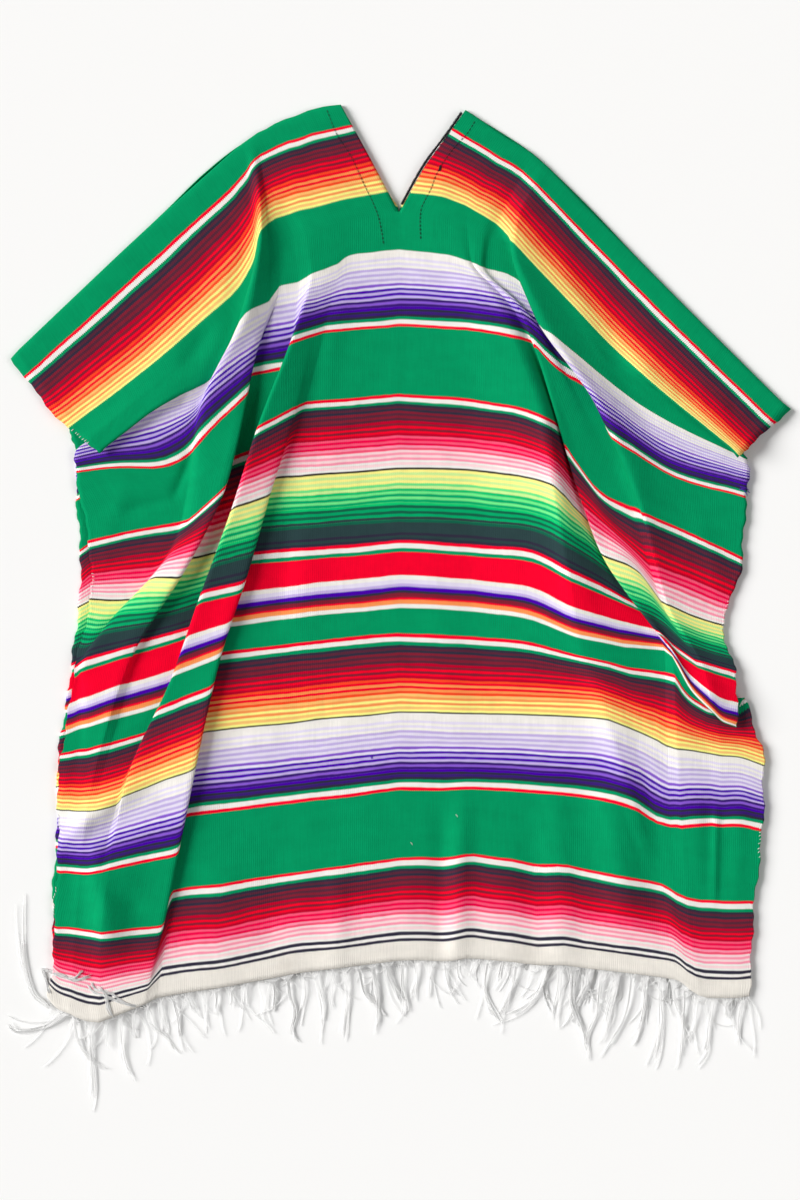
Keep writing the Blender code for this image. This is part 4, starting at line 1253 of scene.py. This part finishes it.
def tubes_piece(name, tubes, finish):
    """One piece made of many tubes, with a map of how far round and along each yarn a point is."""
    vertices, faces, twist, first = [], [], [], 0
    for tube_vertices, tube_faces, tube_twist in tubes:
        vertices.append(tube_vertices)
        faces += [tuple(index + first for index in face) for face in tube_faces]
        twist += tube_twist
        first += len(tube_vertices)
    data = bpy.data.meshes.new(name)
    data.from_pydata(to_world(np.concatenate(vertices)).tolist(), [], faces)
    yarn_map = data.uv_layers.new(name="Yarn map")
    corners = np.zeros(len(data.loops), np.int32)
    data.loops.foreach_get("vertex_index", corners)
    yarn_map.data.foreach_set("uv", np.array(twist, np.float32)[corners].ravel())
    data.materials.append(finish)
    data.shade_smooth()
    print(name, "has", len(tubes), "tubes and", len(data.polygons), "faces")
    return add_object(name, data)


sample = tube(through([(0, 0, 0), (0, 9, 0)], 10), 1.0, 4)
print("a tube of 4 sides through 10 points has", len(sample[1]), "faces")

# %% [markdown]
# The yarn is undyed wool, two plies twisted together. It is white against a white table, so only its
# own soft shadows and the twist show it. The twist of the real yarn is finer than a pixel, but it keeps
# the yarn from looking like plastic when seen close. Light passes through white wool, which softens it.

# %% The finish of yarn and thread
def twisted_yarn(name, colour, paler, ply_length, glow=0.0):
    """Dull two-ply yarn: colour that varies a little along it, over ridges that wind round it."""
    finish, tree, shader = new_finish(name)
    flat = add_node(tree, "UVMap", {"uv_map": "Yarn map"})
    parts = add_node(tree, "SeparateXYZ", None, flat)
    along = parts.outputs["Y"]
    wound = add_node(tree, "Math", MULTIPLY_ADD, along, 1000.0 / ply_length, parts.outputs["X"])
    plies = add_node(tree, "Math", SINE, add_node(tree, "Math", MULTIPLY, wound, 4.0 * math.pi))
    where = add_node(tree, "TexCoord").outputs["Object"]
    fuzz = add_node(tree, "TexNoise", Vector=where, Scale=1400.0, Detail=2.0)
    patches = add_node(tree, "TexNoise", Vector=where, Scale=160.0)
    colours = add_node(tree, "Mix", COLOURS, patches, in_6=linear(colour), in_7=linear(paler))
    height = add_node(tree, "Math", MULTIPLY_ADD, fuzz, 1.2, plies)
    bump = add_node(tree, "Bump", Strength=0.5, Distance=0.0002, Height=height)
    roughness = add_node(tree, "Math", MULTIPLY_ADD, fuzz, 0.1, 0.84)
    tree.links.new(colours.outputs[2], shader.inputs["Base Color"])
    tree.links.new(roughness.outputs[0], shader.inputs["Roughness"])
    tree.links.new(bump.outputs[0], shader.inputs["Normal"])
    shader.inputs["IOR"].default_value = 1.5
    shader.inputs["Specular IOR Level"].default_value = 0.2
    shader.inputs["Subsurface Weight"].default_value = glow
    shader.inputs["Subsurface Radius"].default_value = (0.003, 0.003, 0.003)
    shader.inputs["Subsurface Scale"].default_value = 1.0
    return finish


white_yarn = twisted_yarn("Undyed wool yarn, two-ply", "#fcfcfb", "#ffffff", 2.4, 0.6)
print("nodes in the yarn's finish:", len(white_yarn.node_tree.nodes))

# %% Laying the yarns
YARN_RADIUS = 0.42
YARN_SIDES = 5
YARN_POINTS = 19                 # points down the middle of a whole yarn
PLACED_YARNS = 7                 # yarns in a lock whose path is given
LONG_LOCK = 68.0                 # a lock longer than this keeps its length and at least 5 yarns
INTO_HEM = 1.2                   # a yarn starts this far inside the cloth
LOOSE_LEVEL = 1.8                # height that the front's loose yarns sink to
chance = random.Random(11)


def lean_over(middle, angle):
    """Turn a yarn's middle line about its first point, by an angle for each of its points."""
    x, y = (middle[:, :2] - middle[0, :2]).T
    middle[:, 0] = middle[0, 0] + x * np.cos(angle) - y * np.sin(angle)
    middle[:, 1] = middle[0, 1] + x * np.sin(angle) + y * np.cos(angle)


def off_table(points):
    """Lift the points of a yarn that would sink into the table."""
    points = np.array(points)
    points[:, 2] = np.maximum(points[:, 2], YARN_RADIUS + 0.05)
    return points


def from_hem(hem, at, middle):
    """A yarn from inside the cloth, out at the hem's edge and on along its middle line."""
    start = hem.point(at)
    away = hem.way_out(at, 6.0)
    first = start - away * INTO_HEM - Vector((0.0, 0.0, 0.5))
    second = start + away * chance.uniform(0.8, 2.2) + Vector((0.0, 0.0, chance.uniform(-0.2, 0.5)))
    return off_table([first, second, *middle])


def lock_yarns(hem, centre, line, width, lean):
    """The yarns of one lock: side by side at the hem, drawn together, then parting at their tips."""
    yarns = chance.choice((1, 2, 3, 4, 6, 10))
    drawn, parting = chance.uniform(2.0, 6.0), chance.uniform(4.0, 14.0)
    shortened = chance.choice((0.4, 0.6, 0.8, 1.0, 1.0))
    sway, turns, phase = chance.uniform(0.0, 6.0), chance.uniform(3.0, 11.0), chance.uniform(0.0, 6.3)
    if not lean:
        yarns, shortened, sway = PLACED_YARNS, 1.0, 0.0
    elif math.dist(line[0], line[-1]) > LONG_LOCK:
        yarns, shortened = max(yarns, 5), 1.0
    tubes = []
    for number in range(yarns):
        place = (number + 0.5) / yarns - 0.5
        reach = shortened * chance.uniform(0.65, 1.0)
        middle = through(line, YARN_POINTS)[: max(6, int(round(YARN_POINTS * reach)))]
        share = np.linspace(0.0, reach, len(middle))
        lean_over(middle, lean * share)
        ahead = np.gradient(middle[:, :2], axis=0)
        ahead /= np.linalg.norm(ahead, axis=1)[:, None]
        beside = np.stack((-ahead[:, 1], ahead[:, 0]), axis=1)
        wave = chance.uniform(0.5, 2.0) * np.sin(share * chance.uniform(3.0, 8.0) + chance.uniform(0.0, 6.3))
        wave += sway * np.sin(share * turns + phase)
        apart = place * -(drawn + (parting - drawn) * smoothstep((share - 0.25) / 0.7)) + wave * share
        middle[:, :2] += beside * apart[:, None]
        middle[:, 2] += chance.uniform(-1.2, 0.4) * smoothstep(share * 3.0)
        points = from_hem(hem, centre + place * width, middle)
        tubes.append(tube(points, YARN_RADIUS * chance.uniform(0.75, 1.1), YARN_SIDES))
    return tubes


def loose_yarn(hem, level, steps, wildness):
    """A single yarn that has come out of its lock and lies across its neighbours."""
    at = chance.uniform(0.0, hem.length)
    away = hem.way_out(at, 30.0)
    heading = math.atan2(away.y, away.x) + chance.gauss(0.0, 0.4 + wildness)
    bend = chance.gauss(0.0, 0.09 + wildness)
    spot = hem.point(at)
    points = [spot - away * INTO_HEM - Vector((0.0, 0.0, 0.5)), spot + away * 1.5]
    for _ in range(steps):
        heading += bend + chance.gauss(0.0, 0.05)
        ahead = Vector((math.cos(heading), math.sin(heading), 0.0)) * (5.0 - 8.0 * wildness)
        following = points[-1] + ahead
        following.z += (level - following.z) * 0.35
        points.append(following)
    return tube(off_table(points), YARN_RADIUS * 0.85, YARN_SIDES)


def fringe_tubes(hem, lines, placed, loose, level):
    """All the yarns of one hem. The first few locks follow given paths and keep their shape."""
    width = hem.length / len(lines) * 0.96
    tubes = []
    for number, (centre, line) in enumerate(lines):
        lean = 0.0 if number < placed else chance.gauss(0.0, 0.24)
        tubes += lock_yarns(hem, centre, line, width, lean)
    tubes += [loose_yarn(hem, level, chance.randint(4, 14), 0.0) for _ in range(loose)]
    return tubes + [loose_yarn(hem, level, chance.randint(3, 6), 0.3) for _ in range(loose)]


front_tubes = fringe_tubes(FRONT_HEM, FRONT_LOCK_LINES, len(CURLS), 70, LOOSE_LEVEL)
back_tubes = fringe_tubes(BACK_HEM, BACK_LOCK_LINES, 0, 30, BACK_FRINGE_LEVEL)
print("yarns:", len(front_tubes), "in front and", len(back_tubes), "behind")

# %% [markdown]
# At the left corner some yarns were caught under the cloth when it was laid down, and now lie on top of
# it. They need the height of the cloth under them, which a ray sent straight down finds.

# %% Finding the top of the cloth
front_surface = BVHTree.FromObject(front_cloth, bpy.context.evaluated_depsgraph_get())


def cloth_top(across, down):
    """Height of the top of the front at a place on the table, or of the table beside it."""
    start = Vector(to_world((across, down, 80.0)))
    hit = front_surface.ray_cast(start, Vector((0.0, 0.0, -1.0)))[0]
    return hit.z / MM if hit else 0.0


def on_cloth(places, lift, count):
    """Points on the cloth along a smooth curve through places on the table."""
    spots = through([(*place, 0.0) for place in places], count)
    for spot in spots:
        spot[2] = cloth_top(spot[0], spot[1]) + lift
    return spots


print("top of the cloth below the slit:", round(cloth_top(0.0, 200.0), 2), "mm")

# %% Yarns that lie on the left corner, and both fringes
STRAY_LOCKS = (
    ((-404, 1036), (-412, 1010), (-393, 1017), (-377, 1021), (-366, 1012)),
    ((-404, 1036), (-410, 1012), (-391, 1016), (-374, 1023), (-356, 1017)),
    ((-292, 1054), (-313, 1050), (-335, 1036), (-349, 1033), (-355, 1025)),
    ((-296, 1055), (-322, 1047), (-338, 1040), (-352, 1036), (-358, 1028)),
    ((-330, 1066), (-336, 1052), (-338, 1040), (-346, 1030)),
)
for places in STRAY_LOCKS:
    for _ in range(PLACED_YARNS):
        shifted = [(x + chance.uniform(-2.2, 2.2), y + chance.uniform(-1.6, 1.6)) for x, y in places]
        lift = YARN_RADIUS + chance.uniform(0.1, 1.2)
        front_tubes.append(tube(on_cloth(shifted, lift, 12), YARN_RADIUS, YARN_SIDES))

front_yarns = tubes_piece("front_fringe_yarns", front_tubes, white_yarn)
back_yarns = tubes_piece("back_fringe_yarns", back_tubes, white_yarn)
join_frame(front_yarns, "front_fringe")
join_frame(back_yarns, "back_fringe")

# %% [markdown]
# ## Sewing at the neck
#
# The raw edges of the slit are turned under and topstitched in black thread, which ends in a small bar
# on the right. The right edge is overlocked in black as well, and that shows as a dark cord along it.
# Each stitch is a short tube that dips into the cloth at both ends.

# %% Stitches along a line
black_thread = twisted_yarn("Black sewing thread, twisted", "#15161a", "#2a2b31", 1.2)


def running_stitches(places, length, gap, radius):
    """Stitches along a line of places on the cloth."""
    line = on_cloth(places, 0.0, 90)
    along = np.concatenate(([0.0], np.cumsum(np.linalg.norm(np.diff(line[:, :2], axis=0), axis=1))))
    stitches = []
    start = 0.0
    while start + length < along[-1]:
        spots = np.linspace(start, start + length, 5)
        stitch = np.stack([np.interp(spots, along, line[:, axis]) for axis in range(3)], axis=1)
        stitch[:, 2] += np.array((-0.5, 0.3, 0.45, 0.3, -0.5)) * radius / 0.45
        stitches.append(tube(stitch, radius, 5))
        start += length + gap * chance.uniform(0.7, 1.3)
    return stitches


LEFT_TOPSTITCH = ((-84, 22), (-74, 47), (-55, 78), (-40, 110), (-30, 131), (-24, 148), (-18, 180))
RIGHT_TOPSTITCH = ((86, 35), (77, 49), (60, 68), (46, 88), (41, 98), (36, 112), (28, 127), (24, 137),
                   (23, 152), (24, 173))
STITCH = 3.6                     # length of a stitch and the gap before the next, in millimetres
STITCH_GAP = 1.0
THREAD_RADIUS = 0.42
stitches = []
for places in (LEFT_TOPSTITCH, RIGHT_TOPSTITCH):
    stitches += running_stitches(places, STITCH, STITCH_GAP, THREAD_RADIUS)
# The small bar is three long stitches of doubled thread, side by side
for slip in (-0.7, 0.0, 0.7):
    stitches += running_stitches(((47 + slip, 85), (45 + slip, 94)), 8.0, STITCH_GAP, 0.6)
print("stitches:", len(stitches))

# %% Overlocked edge
CORD_RADIUS = 1.5                # half the thickness of the overlocked edge
CORD_START = 6.0                 # where the overlocking shows, down the cloth from the shoulder
CORD_END = 131.0
LOOP_SPACING = 1.9               # from one loop of thread to the next
LOOP_RADIUS = 0.6                # half the thickness of its thread


def overlock(first, last, spacing):
    """A core beside the right edge of the slit, with loops of thread wound round it."""
    edge = CentreLine(1)
    core, loops = [], []
    for row in np.arange(first, last, spacing / 2.0):
        place = edge.place(row)
        ahead = (edge.place(row + 2.0) - edge.place(row - 2.0)).normalized()
        beside = Vector((-abs(ahead.y), -abs(ahead.x), 0.0))
        centre = Vector((place.x, place.y, edge.height(row))) + beside * (CORD_RADIUS + SEAM_GAP + 0.1)
        core.append(centre)
        if len(core) % 2:
            turn = chance.uniform(0.0, 0.5)
            loose = CORD_RADIUS + chance.uniform(-0.4, 0.3)
            ahead = Vector((ahead.x, ahead.y, 0.0))
            loop = []
            for step in range(9):
                angle = turn + 2.0 * math.pi * step / 8.0
                side = beside * math.cos(angle) + Vector((0.0, 0.0, math.sin(angle)))
                loop.append(centre + side * loose + ahead * (step / 8.0 - 0.5) * spacing * 0.8)
            loops.append(tube(loop, LOOP_RADIUS, 5))
    return [tube(core, CORD_RADIUS - LOOP_RADIUS, 6)] + loops


neck_cord = tubes_piece("neck_overlock", overlock(CORD_START, CORD_END, LOOP_SPACING), black_thread)
neck_stitches = tubes_piece("neck_topstitching", stitches, black_thread)
join_frame(neck_cord, "neck_cord")
join_frame(neck_stitches)

# %% [markdown]
# ## Selvedges and small flaws
#
# The selvedges were caught here and there with pale thread, where the weaver joined a weft. A handmade
# blanket also has a slub, a few pulled fibres and a loose end, and they make it look used.

# %% Pale stitches, slub and loose ends
# Each row: side (-1 is left), and first and last place down the cloth in millimetres
SELVEDGE_STITCHES = ((-1, 116, 150), (-1, 396, 424), (-1, 722, 738), (-1, 825, 862), (1, 402, 440),
                     (1, 800, 836))
SELVEDGE_SPACING = 4.6           # from one stitch to the next


def selvedge_stitches(side, first, last):
    """Short pale stitches over one selvedge."""
    edge, inside = FRONT_FINE[side][-1], FRONT_FINE[side][-2]
    found = []
    for cloth in np.arange(first, last, SELVEDGE_SPACING):
        at = cloth + chance.uniform(-0.8, 0.8)
        outer = np.array([np.interp(at, edge[:, 3], edge[:, axis]) for axis in range(3)])
        inner = np.array([np.interp(at + 1.0, inside[:, 3], inside[:, axis]) for axis in range(3)])
        inner = outer + (inner - outer) / np.linalg.norm(inner - outer) * chance.uniform(1.8, 3.0)
        lift = np.array((0.0, 0.0, WALL / 2.0 + 0.3))
        beside = (outer - inner) / np.linalg.norm(outer - inner) * 0.5
        found.append(tube([inner + lift * 0.5, inner + lift, outer + lift, outer + beside], 0.4, 5))
    return found


pale_stitches = [stitch for row in SELVEDGE_STITCHES for stitch in selvedge_stitches(*row)]
white_specks = [tube(on_cloth(((x, y), (x + 1.5, y + 1.0), (x + 2.2, y + 3.0)), 0.3, 5), 0.35, 5)
                for x, y in ((64, 832), (12, 864))]
pale_thread = twisted_yarn("Pale cotton thread, twisted", "#dfe6dc", "#f2f2ee", 1.2)
selvedge_thread = tubes_piece("selvedge_stitches", pale_stitches + white_specks, pale_thread)

purple_yarn = twisted_yarn("Purple wool yarn, two-ply", "#4a18a6", "#5e2bc0", 2.4)
purple_ends = [tube(on_cloth(((-35, 764), (-33, 765), (-32, 768)), 0.4, 6), 0.9, 6)]
for x, y, end_x, end_y in ((391, 455, 402, 459), (392, 457, 403, 462), (390, 458, 400, 465)):
    purple_ends.append(tube(on_cloth(((x, y), ((x + end_x) / 2, y + 1), (end_x, end_y)), 0.6, 7), 0.5, 5))
purple_tufts = tubes_piece("purple_loose_ends", purple_ends, purple_yarn)
join_frame(selvedge_thread)
join_frame(purple_tufts)
